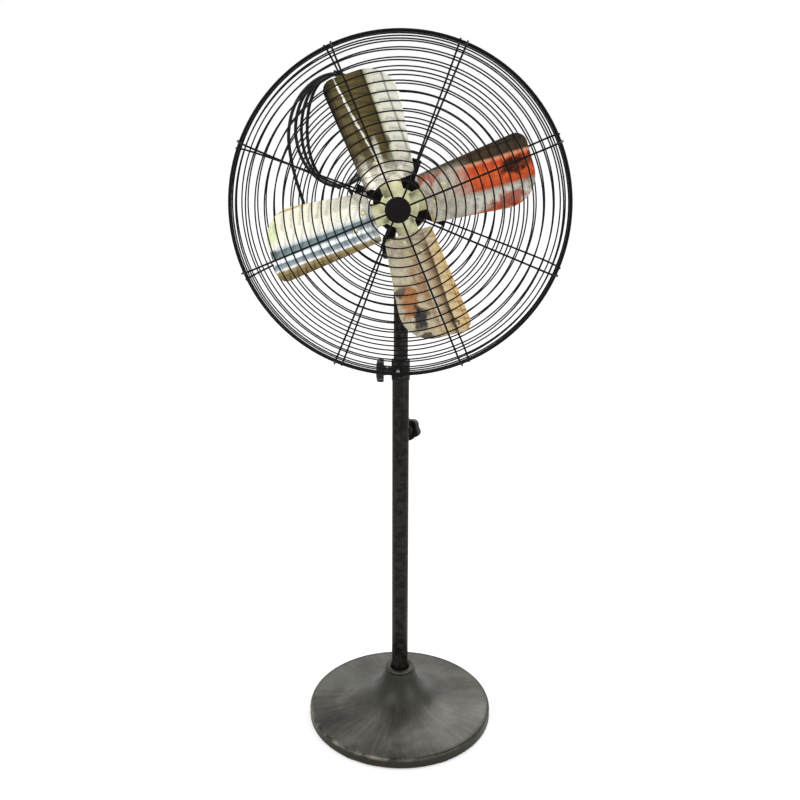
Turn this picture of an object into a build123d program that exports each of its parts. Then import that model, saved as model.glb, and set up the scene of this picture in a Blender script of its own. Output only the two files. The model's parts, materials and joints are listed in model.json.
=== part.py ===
from build123d import *
import math
import os

# Industrial pedestal fan, in millimetres. The floor is z = 0, the pole stands on the Z axis
# and the fan blows towards -Y. Head angles are read from the front, 0 to the right and 90 up.
# Round pieces are drawn with flats, which keeps the model light: a rod's corners lie on its
# radius and a bore's flats do, so what fits in a bore clears it.

large_sides = 32
rod_sides = 20
bar_sides = 12
small_sides = 8

# Base
foot_height = 3.0
foot_side = 20.0
foot_inset = 13.0
foot_count = 6
base_radius = 216.0
rim_height = 26.0
rim_round = 6.0
rim_slope_radius = 115.0
rim_slope_height = 36.0
neck_radius = 34.0
neck_height = 122.0
neck_bead = 2.0
neck_bead_height = 10.0
base_wall = 6.0
base_lip = 24.0
flare = ((80.0, 46.0), (56.0, 64.0), (42.0, 88.0))
pole_seat = 40.0
foot_bolt_radius = 6.0
foot_bolt_head = 7.0
foot_bolt_head_radius = 11.0
pole_nut_length = 20.0

# Pole
outer_tube_radius = 19.0
inner_tube_radius = 16.0
tube_wall = 1.7
outer_tube_top = 868.0
inner_tube_foot = 500.0
inner_tube_drop = 120.0
slide_clearance = 0.06
sleeve_wall = 1.8
sleeve_length = 38.0
sleeve_cap = 9.0
sleeve_chamfer = 2.5
bush_length = 40.0
tail_bush_length = 24.0
upper_knob_height = 850.0
upper_knob_angle = 180.0
lower_knob_height = 702.0
lower_knob_angle = 62.0

# Lock knobs
knob_radius = 27.0
knob_lobe_depth = 5.0
knob_lobes = 5
knob_points = 20
knob_thickness = 17.0
knob_hub_radius = 11.0
knob_hub_length = 6.0
stud_radius = 4.0
stud_depth = 14.0
stud_gap = 0.3
knob_nut_radius = 9.5
knob_nut_length = 9.0
knob_standoff = 1.5

# Tilt joint
head_height = 1220.0
tilt_drop = 92.0
tongue_width = 26.0
tongue_radius = 17.0
socket_length = 40.0
socket_wall = 3.0
socket_cap = 4.0
ear_thickness = 4.0
ear_radius = 17.0
tilt_clearance = 0.05
tilt_bolt_radius = 5.0
tilt_bolt_head = 6.5
tilt_bolt_head_radius = 9.5
tilt_knob_gap = 0.3
saddle_front = 1.0
saddle_length = 56.0
saddle_thickness = 4.0
saddle_half_angle = 34.0
saddle_screw_radius = 3.0
saddle_screw_head = 3.0

# Motor
motor_radius = 60.0
motor_front = -34.0
front_shell_length = 62.0
rear_shell_length = 62.0
shell_wall = 3.0
shell_chamfer = 9.0
stator_length = 42.0
stator_radius = 56.5
stator_sides = 8
stator_bore = 33.0
air_gap = 0.5
winding_radius = 43.0
winding_width = 9.0
winding_height = 9.0
tie_bolt_circle = 51.5
tie_bolt_radius = 2.5
tie_bolt_head = 3.0
bearing_radius = 17.5
bearing_width = 11.0
shaft_radius = 8.0
shaft_clearance = 0.05
shaft_end_gap = 1.0
shell_hole_clearance = 0.6

# Switch box on the back of the motor
box_width = 74.0
box_height = 62.0
box_depth = 34.0
box_wall = 2.5
lid_thickness = 3.0
box_corner = 8.0
dial_radius = 16.0
dial_height = 13.0
dial_gap = 0.5
spindle_radius = 3.0
spindle_height = 9.0
switch_size = 22.0
switch_depth = 14.0
capacitor_radius = 11.0
capacitor_length = 50.0
component_spacing = 13.0

# Guards
wire = 3.0
spoke_wire = 4.0
weld = 0.3
ring_sides = 24
small_ring_sides = 16
small_ring_radius = 250.0
rim_wire = 6.0
rim_sides = 32
rim_radius = 341.0
rear_rim_inset = 0.5
spoke_count = 8
front_face = -176.0
front_shoulder = 34.0
front_ring_first = 57.5
front_ring_step = 18.8
front_ring_count = 14
front_shoulder_steps = 4
front_shoulder_rings = 2
front_spoke_angle = 22.5
front_rim = -143.0
hook_length = 8.0
disc_radius = 26.0
disc_thickness = 3.5
rear_face = -37.0
rear_ring_first = 98.0
rear_ring_step = 16.6
rear_ring_count = 13
rear_dome_radius = 303.0
rear_dome_rise = 37.0
rear_dome_steps = 4
rear_shoulder_steps = 5
rear_spoke_angle = 25.0
rear_rim = -137.0
plate_radius = 57.0
plate_bore = 24.0
plate_arms = 4
plate_arm_angle = 70.0
arm_width = 20.0
arm_overlap = 3.0
plate_screw_circle = 40.0
plate_screw_radius = 2.5
plate_screw_head = 3.0
clip_width = 24.0
clip_wall = 2.0
clip_depth = 16.0
clip_clearance = 0.3
clip_screw_radius = 2.5
clip_screw_head = 2.5

# Blades
blade_count = 4
blade_angle = 20.0
blade_sheet = 2.0
blade_centre = -120.0
blade_root = 54.0
blade_tip = 281.0
root_lead = 52.0
root_trail = 50.0
tip_lead = 88.0
tip_trail = 64.0
lead_corner = 66.0
trail_corner = 24.0
crease_lead = 34.0
crease_trail = 32.0
pitch_lead = 12.0
pitch_middle = 20.0
pitch_trail = 28.0
spider_sheet = 3.0
spider_radius = 40.0
arm_start = 30.0
arm_half_root = 22.0
arm_half = 27.0
arm_reach = 112.0
arm_corner = 12.0
hub_radius = 17.0
hub_length = 34.0
set_screw_radius = 3.0
rivet_radius = 3.0
rivet_head_radius = 6.0
rivet_head = 2.0
rivet_first = 72.0
rivet_second = 98.0
rivet_spread = 15.0
shaft_nut_radius = 15.0
shaft_nut_length = 9.0
shaft_tip = 5.0

# Mains cord
cord_radius = 3.5
cord_sides = 4
coil_x = -132.0
coil_z = 152.0
coil_half_width = 79.0
coil_half_height = 114.0
coil_spread = 11.0
coil_pitch = 8.6
coil_turns = 3.5
coil_lift = 2.0
gland_radius = 9.0
gland_length = 18.0
gland_nut_radius = 12.0
gland_nut_length = 7.0
gland_drop = 12.0
plug_width = 30.0
plug_depth = 17.0
plug_length = 34.0
plug_corner = 5.0
plug_pin_radius = 2.0
plug_pin_length = 19.0
plug_pin_spacing = 19.0
lead_ways = ((-40.0, 0.0, 0.0), (-72.0, -18.0, 42.0), (-52.0, -58.0, 68.0))
lead_reach = 62.0
tail_reach = 40.0
tail_ways = ((-224.0, -46.0, 67.0), (-212.0, -33.0, 21.0))
plug_place = (-204.0, -29.0, -34.0)
plug_drop = 28.0
tie_band = 1.2
tie_width = 5.0
tie_gap = 0.8

low = (Align.CENTER, Align.CENTER, Align.MIN)
head_axis = Axis((0, 0, head_height), (0, 1, 0))
meridian = Plane(origin=(0, 0, head_height), x_dir=(1, 0, 0), z_dir=(0, 0, 1))
along_head = Plane(origin=(0, 0, head_height), x_dir=(1, 0, 0), z_dir=(0, 1, 0))
foot_circle = base_radius - foot_inset
tube_bore = outer_tube_radius - tube_wall
slide_bore = inner_tube_radius + slide_clearance
sleeve_radius = outer_tube_radius + sleeve_wall
tilt_height = head_height - tilt_drop
inner_tube_top = head_height - inner_tube_drop
ear_inside = tongue_width / 2 + tilt_clearance
ear_outside = ear_inside + ear_thickness
motor_middle = motor_front + front_shell_length
motor_back = motor_middle + rear_shell_length
stator_front = motor_middle - stator_length / 2
stator_back = stator_front + stator_length
box_back = motor_back + box_depth
rim_outer = rim_radius + rim_wire / 2
rear_rim_outer = rim_outer - rear_rim_inset
bearing_front = motor_front + shell_wall
bearing_back = motor_back - shell_wall - bearing_width


def export(node, *shapes):
    """Writes one node. Its solids stay apart, under the node's own name."""
    compound = Compound(children=[solid for shape in shapes for solid in shape.solids()])
    compound.label = node
    export_step(compound, f"parts/{node}.step")


def rod(radius, sides=rod_sides):
    return RegularPolygon(radius, sides)


def bore(radius, sides=rod_sides):
    return RegularPolygon(radius, sides, major_radius=False)


def turned(sections, sides, ring=False):
    """A shape with flats turned about Z through (radius, z) corners, with end faces or a ring."""
    corners = [2 * math.pi * k / sides for k in range(sides)]
    loops = [[(r * math.cos(a), r * math.sin(a), z) for a in corners] for r, z in sections]
    faces = [] if ring else [outline(*loops[0]), outline(*loops[-1])]
    for lower, upper in zip(loops, loops[1:] + loops[:ring]):
        for k in range(sides):
            faces.append(outline(lower[k - 1], lower[k], upper[k], upper[k - 1]))
    return Solid(Shell(faces))


def upright(shape, bottom, top):
    """A flat shape on the pole's axis given its height."""
    return extrude(Pos(0, 0, bottom) * shape, top - bottom)


def outline(*points):
    return make_face(Polyline(*points, close=True))


def facing(y):
    """The plane square to the head axis at y, seen from the front. Extruding goes to the front."""
    return Plane(origin=(0, y, head_height), x_dir=(1, 0, 0), z_dir=(0, -1, 0))


def drum(shape, front, back):
    """A flat shape about the head axis given its length along that axis."""
    return extrude(facing(back) * shape, back - front)


def around(shape, count, first=0.0):
    """Copies of a head piece drawn at angle 0, spaced evenly from the first angle."""
    return [shape.rotate(head_axis, -(first + 360.0 * k / count)) for k in range(count)]


def across(angle, height, distance=0.0):
    """A plane on a level ray out from the pole, its normal pointing outwards."""
    a = math.radians(angle)
    out = Vector(math.cos(a), math.sin(a), 0)
    return Plane(origin=out * distance + Vector(0, 0, height), x_dir=(0, 0, 1), z_dir=out)


def sideways(x, y, z):
    """A plane square to X with its normal towards +X, local x along Y and local y along Z."""
    return Plane(origin=(x, y, z), x_dir=(0, 1, 0), z_dir=(1, 0, 0))


def stud_hole(angle, height, radius):
    return extrude(across(angle, height) * bore(radius, small_sides), 3 * outer_tube_radius)


# Base: an iron casting on rubber pads, flaring up to a neck that holds the pole
def make_base():
    bolt_seat = foot_height + base_wall
    inside = base_radius - base_lip
    bead = neck_radius + neck_bead
    casting = turned(
        [
            (base_radius, foot_height),
            (base_radius, rim_height - rim_round),
            (base_radius - rim_round, rim_height),
            (rim_slope_radius, rim_slope_height),
            *flare,
            (neck_radius + 1, neck_height - neck_bead_height),
            (bead, neck_height - neck_bead),
            (neck_radius, neck_height),
        ],
        large_sides,
    )
    hollow = [
        (inside, foot_height),
        (inside - base_wall, rim_height - base_wall),
        (rim_slope_radius - base_wall, rim_slope_height - base_wall),
        (flare[0][0] - base_wall, flare[0][1] - base_wall),
        (flare[1][0] - base_wall, flare[1][1] - base_wall),
    ]
    boss = turned([(neck_radius, bolt_seat), (neck_radius, hollow[-1][1])], bar_sides)
    hollow = turned(hollow, large_sides) - boss
    bolt_hole = upright(rod(foot_bolt_radius, small_sides), bolt_seat, pole_seat)
    socket = upright(rod(outer_tube_radius), pole_seat, neck_height)
    export("base_casting", casting - hollow - bolt_hole - socket)
    pad = Pos(foot_circle, 0, 0) * Box(foot_side, foot_side, foot_height, align=low)
    export("rubber_feet", *(pad.rotate(Axis.Z, 360 * k / foot_count) for k in range(foot_count)))
    head = upright(rod(foot_bolt_head_radius, 6), bolt_seat - foot_bolt_head, bolt_seat)
    nut_top = pole_seat + pole_nut_length
    shank = upright(rod(foot_bolt_radius, small_sides), bolt_seat, nut_top)
    export("foot_bolt", head + shank)
    nut = rod(tube_bore, 6) - rod(foot_bolt_radius, small_sides)
    export("pole_foot_nut", upright(nut, pole_seat, nut_top))


# Pole: a fixed outer tube with a guide bush and a sleeve, and an inner tube that slides in it
def make_pole():
    hole = stud_radius + slide_clearance
    upper_hole = stud_hole(upper_knob_angle, upper_knob_height, hole)
    lower_hole = stud_hole(lower_knob_angle, lower_knob_height, hole)
    outer = rod(outer_tube_radius) - rod(tube_bore)
    outer = upright(outer, pole_seat, outer_tube_top)
    export("pole_outer_tube", outer - upper_hole - lower_hole)
    bush = rod(tube_bore) - bore(slide_bore)
    bush = upright(bush, outer_tube_top - bush_length, outer_tube_top)
    export("guide_bush", bush - upper_hole)
    cap_top = outer_tube_top + sleeve_cap
    sleeve_foot = outer_tube_top - sleeve_length
    sleeve = turned(
        [
            (sleeve_radius, sleeve_foot),
            (sleeve_radius, cap_top - sleeve_chamfer),
            (sleeve_radius - sleeve_chamfer, cap_top),
        ],
        rod_sides,
    )
    sleeve -= upright(bore(outer_tube_radius), sleeve_foot, outer_tube_top)
    sleeve -= upright(bore(slide_bore), outer_tube_top, cap_top)
    export("pole_sleeve", sleeve - upper_hole)
    inner = rod(inner_tube_radius) - rod(inner_tube_radius - tube_wall)
    export("pole_inner_tube", upright(inner, inner_tube_foot, inner_tube_top))
    tail = rod(tube_bore - slide_clearance) - bore(inner_tube_radius)
    export("inner_tube_bush", upright(tail, inner_tube_foot, inner_tube_foot + tail_bush_length))


# Lock knobs: a five-lobed head moulded on a stud that runs in a nut welded to the pole
def knob_star():
    middle = knob_radius - knob_lobe_depth / 2
    points = []
    for k in range(knob_points):
        a = 2 * math.pi * k / knob_points
        r = middle + knob_lobe_depth / 2 * math.cos(knob_lobes * a)
        points.append((r * math.cos(a), r * math.sin(a)))
    return outline(*points)


def knob_head(hole):
    """The moulded head, its hub's face on the XY plane and its top towards +Z."""
    body = upright(knob_star(), knob_hub_length, knob_hub_length + knob_thickness)
    body += upright(rod(knob_hub_radius, bar_sides), 0, knob_hub_length)
    return body - upright(hole, 0, stud_depth)


def lock_knob(name, angle, height, surface):
    nut_face = across(angle, height, surface - weld) * rod(knob_nut_radius, 6)
    nut = extrude(nut_face, knob_nut_length + weld)
    nut -= stud_hole(angle, height, stud_radius + slide_clearance)
    export(f"{name}_nut", nut - upright(rod(surface), height - 30, height + 30))
    face = surface + knob_nut_length + knob_standoff
    stud = rod(stud_radius, small_sides)
    export(f"{name}_knob", across(angle, height, face) * knob_head(stud))
    tip = inner_tube_radius + stud_gap
    export(f"{name}_stud", extrude(across(angle, height, tip) * stud, face + stud_depth - tip))


# Tilt joint: a tongue on the inner tube between the two ears of the motor bracket
def make_tilt():
    socket_foot = inner_tube_top - socket_length
    fitting = upright(
        rod(inner_tube_radius + socket_wall), socket_foot, inner_tube_top + socket_cap
    )
    fitting -= upright(bore(inner_tube_radius), socket_foot, inner_tube_top)
    stem = tilt_height - inner_tube_top - socket_cap
    tongue = rod(tongue_radius) + Pos(0, -stem / 2) * Rectangle(1.5 * tongue_radius, stem)
    fitting += extrude(sideways(-tongue_width / 2, 0, tilt_height) * tongue, tongue_width)
    hole_start = sideways(-ear_outside, 0, tilt_height)
    hole = extrude(hole_start * bore(tilt_bolt_radius + tilt_clearance), 2 * ear_outside)
    export("pole_head_fitting", fitting - hole)

    reach = 2 * motor_radius
    spread = reach * math.tan(math.radians(saddle_half_angle))
    sector = outline((0, 0), (-spread, -reach), (spread, -reach))
    band = rod(motor_radius + saddle_thickness) - rod(motor_radius)
    saddle_back = saddle_front + saddle_length
    saddle = drum(band & sector, saddle_front, saddle_back)
    ear_top = tilt_drop - motor_radius - saddle_thickness / 2
    top_edge = Line((saddle_front, ear_top), (saddle_back, ear_top))
    ear_face = make_hull(rod(ear_radius, bar_sides).edges() + top_edge.edges())
    ears = [
        extrude(sideways(x, 0, tilt_height) * ear_face, ear_thickness)
        for x in (-ear_outside, ear_inside)
    ]
    ear_hole = extrude(hole_start * rod(tilt_bolt_radius), 2 * ear_outside)
    export("motor_bracket", saddle + ears - ear_hole - saddle_screws())
    export("bracket_screws", *saddle_screws())

    head = rod(tilt_bolt_head_radius, 6)
    head = extrude(sideways(ear_outside, 0, tilt_height) * head, tilt_bolt_head)
    knob_face = ear_outside + tilt_knob_gap
    end = knob_face + stud_depth - stud_gap
    shank = sideways(-end, 0, tilt_height) * rod(tilt_bolt_radius)
    export("tilt_bolt", head + extrude(shank, end + ear_outside))
    knob_plane = Plane(origin=(-knob_face, 0, tilt_height), x_dir=(0, 0, 1), z_dir=(-1, 0, 0))
    export("tilt_lock_knob", knob_plane * knob_head(bore(tilt_bolt_radius + slide_clearance)))


def saddle_screws():
    """Hex screws up through the bracket into the motor shells."""
    start = motor_radius - shell_wall - 1
    length = saddle_thickness + shell_wall + 1
    screws = []
    for y in (saddle_front + 0.2 * saddle_length, saddle_front + 0.8 * saddle_length):
        for angle in (-90 - 0.7 * saddle_half_angle, -90 + 0.7 * saddle_half_angle):
            a = math.radians(angle)
            out = Vector(math.cos(a), 0, math.sin(a))
            base = Plane(
                origin=out * start + Vector(0, y, head_height), x_dir=(0, 1, 0), z_dir=out
            )
            shank = extrude(base * rod(saddle_screw_radius, 6), length)
            top = base * Pos(0, 0, length) * rod(2 * saddle_screw_radius, 6)
            screws.append(shank + extrude(top, saddle_screw_head))
    return screws


# Motor: two pressed shells over the stator, with the rotor running in a bearing in each
def shell(open_end, closed_end):
    """A shell about the head axis, closed by a face that carries the bearing seat."""
    side = 1 if closed_end > open_end else -1
    inner = motor_radius - shell_wall
    face = closed_end - side * shell_wall
    knee = closed_end - side * shell_chamfer
    outside = [
        (motor_radius, open_end),
        (motor_radius, knee),
        (motor_radius - shell_chamfer, closed_end),
    ]
    inside = [(inner, open_end), (inner, knee), (inner + shell_wall - shell_chamfer, face)]
    body = along_head.location * (turned(outside, rod_sides) - turned(inside, rod_sides))
    seat_end = face - side * bearing_width
    seat = rod(bearing_radius + shell_wall, bar_sides) - rod(bearing_radius, bar_sides)
    body += drum(seat, min(face, seat_end), max(face, seat_end))
    hole = bore(shaft_radius + shell_hole_clearance, bar_sides)
    return body - drum(hole, min(face, closed_end), max(face, closed_end))


def bolt_places():
    return PolarLocations(tie_bolt_circle, 4, start_angle=45)


def make_motor():
    bolts = []
    for place in bolt_places():
        shank = drum(place * rod(tie_bolt_radius, 6), motor_front, motor_back)
        head = drum(place * rod(2 * tie_bolt_radius, 6), motor_back, motor_back + tie_bolt_head)
        bolts.append(shank + head)
    fixings = [*bolts, *saddle_screws()]
    export("motor_front_shell", shell(motor_middle, motor_front) - fixings - plate_screws())
    export("motor_rear_shell", shell(motor_middle, motor_back) - fixings)
    export("motor_tie_bolts", *bolts)
    core = rod(stator_radius, stator_sides) - bore(stator_bore)
    export("stator_core", drum(core, stator_front, stator_back) - bolts)
    winding = rod(winding_radius + winding_width / 2, bar_sides)
    winding -= rod(winding_radius - winding_width / 2, bar_sides)
    export(
        "stator_windings",
        drum(winding, stator_front - winding_height, stator_front),
        drum(winding, stator_back, stator_back + winding_height),
    )
    bearing = rod(bearing_radius, bar_sides) - bore(shaft_radius + shaft_clearance, bar_sides)
    export(
        "motor_bearings",
        drum(bearing, bearing_front, bearing_front + bearing_width),
        drum(bearing, bearing_back, bearing_back + bearing_width),
    )
    core = rod(stator_bore - air_gap) - rod(shaft_radius, bar_sides)
    export("rotor_core", drum(core, stator_front, stator_back))


# Switch box: body, lid, capacitor, rotary switch and its knob
def make_switch_box():
    flat = Rectangle(box_width, box_height)
    flat = chamfer(flat.vertices(), box_corner)
    inside = Rectangle(box_width - 2 * box_wall, box_height - 2 * box_wall)
    inside = chamfer(inside.vertices(), box_corner)
    body = drum(flat, motor_back, box_back) - drum(inside, motor_back + box_wall, box_back)
    for place in bolt_places():
        room = place * rod(2.4 * tie_bolt_radius, 6)
        body -= drum(room, motor_back, motor_back + 2 * box_wall)
    export("switch_box", body)
    spindle_at = Pos(0, component_spacing)
    hole = spindle_at * bore(spindle_radius + slide_clearance, bar_sides)
    lid = drum(flat, box_back, box_back + lid_thickness)
    export("switch_box_lid", lid - drum(hole, box_back, box_back + lid_thickness))
    switch_front = box_back - switch_depth
    switch = drum(spindle_at * Rectangle(switch_size, switch_size), switch_front, box_back)
    export("speed_switch", switch - drum(hole, switch_front + box_wall, box_back))
    knob_front = box_back + lid_thickness + dial_gap
    spindle = spindle_at * rod(spindle_radius, bar_sides)
    stem = drum(spindle, switch_front + box_wall + dial_gap, knob_front + spindle_height)
    export("switch_spindle", stem)
    dial = spindle_at * rod(dial_radius)
    export("speed_knob", drum(dial, knob_front, knob_front + dial_height) - stem)
    capacitor_y = motor_back + box_wall + 2 * tie_bolt_head + capacitor_radius
    capacitor = sideways(-capacitor_length / 2, capacitor_y, head_height - component_spacing)
    export("run_capacitor", extrude(capacitor * rod(capacitor_radius, bar_sides), capacitor_length))
    gland_at = Plane(origin=gland_place(0), x_dir=(0, 1, 0), z_dir=(-1, 0, 0))
    gland = extrude(gland_at * rod(gland_nut_radius, 6), gland_nut_length)
    export("cord_gland", gland + extrude(gland_at * rod(gland_radius, bar_sides), gland_length))


def gland_place(out):
    return (-box_width / 2 - out, motor_back + box_depth / 2, head_height - gland_drop)


# Guards: wire rings welded inside spokes, the rear one domed and the front one flat
rear_span = rear_dome_radius - rear_ring_first
rear_crown = (rear_span**2 + rear_dome_rise**2) / (2 * rear_dome_rise)
rear_edge_angle = math.degrees(math.asin(rear_span / rear_crown))
rear_end_radius = rear_rim_outer - weld
rear_shoulder = (rear_end_radius - rear_dome_radius) / (1 - rear_span / rear_crown)
rear_dome_centre = (rear_ring_first, rear_face - rear_crown)
rear_shoulder_centre = (
    rear_end_radius - rear_shoulder,
    rear_face - rear_dome_rise - rear_shoulder * math.cos(math.radians(rear_edge_angle)),
)
front_corner = rim_outer - weld - front_shoulder
front_shoulder_centre = (front_corner, front_face + front_shoulder)


def rear_surface(radius):
    """The y of the dome between the rear rings and their spokes."""
    return rear_dome_centre[1] + math.sqrt(rear_crown**2 - (radius - rear_ring_first) ** 2)


def on_arc(centre, radius, degrees, side=1):
    """A (radius, y) point of an arc, its angle from the head axis and its side 1 to the back."""
    a = math.radians(degrees)
    return (centre[0] + radius * math.sin(a), centre[1] + side * radius * math.cos(a))


def rear_path(offset, start):
    """The dome, the shoulder and the straight edge at an offset outside the rings."""
    first = math.degrees(math.asin((start - rear_ring_first) / rear_crown))
    points = []
    for k in range(rear_dome_steps):
        degrees = first + (rear_edge_angle - first) * k / rear_dome_steps
        points.append(on_arc(rear_dome_centre, rear_crown + offset, degrees))
    for k in range(rear_shoulder_steps + 1):
        degrees = rear_edge_angle + (90 - rear_edge_angle) * k / rear_shoulder_steps
        points.append(on_arc(rear_shoulder_centre, rear_shoulder + offset, degrees))
    return [*points, (rear_end_radius + offset, rear_rim - rim_wire / 3)]


def front_path(offset):
    """The flat face, the shoulder and the straight hook at an offset outside the rings."""
    points = [(disc_radius - 2 * spoke_wire, front_face - offset)]
    for k in range(front_shoulder_steps + 1):
        degrees = 90 * k / front_shoulder_steps
        points.append(on_arc(front_shoulder_centre, front_shoulder + offset, degrees, -1))
    return [*points, (rim_outer - weld + offset, rear_rim + rim_wire / 2 + hook_length)]


def wire_ring(place, first_angle, thickness, sides):
    """A ring of square wire at a (radius, y) place, with a corner on every spoke."""
    radius, y = place
    half = thickness / 2
    face = rod(radius + half, sides) - rod(radius - half, sides)
    return drum(Rot(0, 0, first_angle) * face, y - half, y + half)


def guard_rings(places, first_angle, front):
    """Wire rings drawn with three sides, an edge of which is welded into each spoke."""
    rings = []
    for radius, y in places:
        sides = small_ring_sides if radius < small_ring_radius else ring_sides
        section = [(radius - wire / 2, wire / 2), (radius + wire / 2, wire / 2), (radius, -wire / 2)]
        ring = facing(y) * Rot(0 if front else 180, 0, 0) * turned(section, sides, ring=True)
        rings.append(ring.rotate(head_axis, -first_angle))
    return rings


def spoke(profile, width=spoke_wire):
    """A piece at angle 0 from a face drawn as (radius, y), its width across that face."""
    return extrude(meridian * profile, width / 2, both=True)


def spokes(path, back, first_angle):
    return around(spoke(outline(*path, *reversed(back))), spoke_count, first_angle)


def make_front_guard():
    inset = wire / 2 - weld
    places = [
        (front_ring_first + front_ring_step * k, front_face + inset)
        for k in range(front_ring_count)
    ]
    for k in range(1, front_shoulder_rings + 1):
        degrees = 90 * k / front_shoulder_steps
        places.append(on_arc(front_shoulder_centre, front_shoulder - inset, degrees, -1))
    export("front_guard_rings", *guard_rings(places, front_spoke_angle, front=True))
    rim = wire_ring((rim_radius, front_rim), front_spoke_angle, rim_wire, rim_sides)
    export("front_guard_rim", rim)
    bars = spokes(front_path(0), front_path(spoke_wire), front_spoke_angle)
    export("front_guard_spokes", *bars)
    disc_back = front_face - spoke_wire + weld
    disc = drum(rod(disc_radius), disc_back - disc_thickness, disc_back)
    export("front_guard_disc", disc)


def make_rear_guard():
    inset = wire / 2 - weld
    radii = [rear_ring_first + rear_ring_step * k for k in range(rear_ring_count)]
    places = [(radius, rear_surface(radius) - inset) for radius in radii]
    export("rear_guard_rings", *guard_rings(places, rear_spoke_angle, front=False))
    places = []
    for k in range(1, rear_shoulder_steps):
        degrees = rear_edge_angle + (90 - rear_edge_angle) * k / rear_shoulder_steps
        places.append(on_arc(rear_shoulder_centre, rear_shoulder - inset, degrees))
    export("rear_guard_side_rings", *guard_rings(places, rear_spoke_angle, front=False))
    rim_place = (rim_radius - rear_rim_inset, rear_rim)
    export("rear_guard_rim", wire_ring(rim_place, rear_spoke_angle, rim_wire, rim_sides))
    arm_end = rear_ring_first + arm_overlap
    start = arm_end - weld
    bars = spokes(rear_path(0, start), rear_path(spoke_wire, start), rear_spoke_angle)
    export("rear_guard_spokes", *bars)
    plate = drum(rod(plate_radius) - rod(plate_bore), rear_face, motor_front)
    arm_length = arm_end - plate_bore - 6
    arm = Pos(arm_end - arm_length / 2, 0) * Rectangle(arm_length, arm_width)
    plate += around(drum(arm, rear_face, motor_front), plate_arms, plate_arm_angle)
    export("rear_guard_plate", plate - plate_screws())
    export("guard_plate_screws", *plate_screws())


def plate_screws():
    """Screws through the guard plate into the motor's front shell."""
    screws = []
    for place in PolarLocations(plate_screw_circle, 4):
        shank = drum(place * rod(plate_screw_radius, 6), rear_face, bearing_front)
        head = place * rod(2 * plate_screw_radius, 6)
        screws.append(shank + drum(head, rear_face - plate_screw_head, rear_face))
    return screws


def make_guard_clip():
    """The clip that holds the two rims together at the bottom, and its screw."""
    front = front_rim - rim_wire / 2 - clip_clearance
    back = rear_rim + rim_wire / 2 + clip_clearance
    bottom = rim_outer + clip_clearance
    lip = bottom - clip_depth
    channel = outline(
        (lip, front - clip_wall),
        (bottom + clip_wall, front - clip_wall),
        (bottom + clip_wall, back + clip_wall),
        (lip, back + clip_wall),
        (lip, back),
        (bottom, back),
        (bottom, front),
        (lip, front),
    )
    place = Pos(lip + 2 * clip_screw_radius, 0)
    shank = place * rod(clip_screw_radius, 6)
    screw = drum(shank, front - clip_wall, back + clip_wall)
    head = place * rod(1.6 * clip_screw_radius, 6)
    screw += drum(head, front - clip_wall - clip_screw_head, front - clip_wall)
    clip = spoke(channel, clip_width) - screw
    export("guard_clip", *around(clip, 1, -90))
    export("guard_clip_screw", *around(screw, 1, -90))


# Rotor: shaft, hub and spider with four creased aluminium blades riveted on
band_angle = math.radians(pitch_middle)
band_normal = Vector(0, -math.cos(band_angle), -math.sin(band_angle))
band = Plane(origin=(0, blade_centre, head_height), x_dir=(1, 0, 0), z_dir=band_normal)
sheet_normal = blade_sheet * math.cos(band_angle)


def blade_rivets():
    """The two rivets that hold a blade drawn at angle 0."""
    places = [(rivet_first, -rivet_spread), (rivet_second, rivet_spread)]
    rivets = []
    for x, u in places:
        length = spider_sheet + sheet_normal
        shank = extrude(band * Pos(x, u, -spider_sheet) * rod(rivet_radius, 6), length)
        head = band * Pos(x, u, sheet_normal) * rod(rivet_head_radius, 6)
        rivets.append(shank + extrude(head, rivet_head))
    return rivets


def blade_front(u):
    """How far a blade's back face stands to the front at u, which grows to its trailing edge."""
    middle = math.tan(band_angle)
    if u < -crease_lead:
        return -crease_lead * middle + (u + crease_lead) * math.tan(math.radians(pitch_lead))
    if u > crease_trail:
        return crease_trail * middle + (u - crease_trail) * math.tan(math.radians(pitch_trail))
    return u * middle


def make_blade():
    stations = [-tip_lead - 5, -crease_lead, crease_trail, tip_trail + 5]
    back = [(u, blade_front(u)) for u in stations]
    face = [(u, blade_front(u) + blade_sheet) for u in reversed(stations)]
    start = blade_root - 5
    square = Plane(origin=(start, blade_centre, head_height), x_dir=(0, 0, 1), z_dir=(1, 0, 0))
    strip = extrude(square * outline(*back, *face), blade_tip + 5 - start)
    plan = outline(
        (blade_root, -root_lead),
        (blade_tip, -tip_lead),
        (blade_tip, tip_trail),
        (blade_root, root_trail),
    )
    plan = fillet(plan.vertices().sort_by(Axis.Y)[0], lead_corner)
    plan = fillet(plan.vertices().sort_by(Axis.Y)[-1], trail_corner)
    depth = tip_lead + tip_trail
    return strip & drum(plan, blade_centre - depth, blade_centre + depth)


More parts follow.
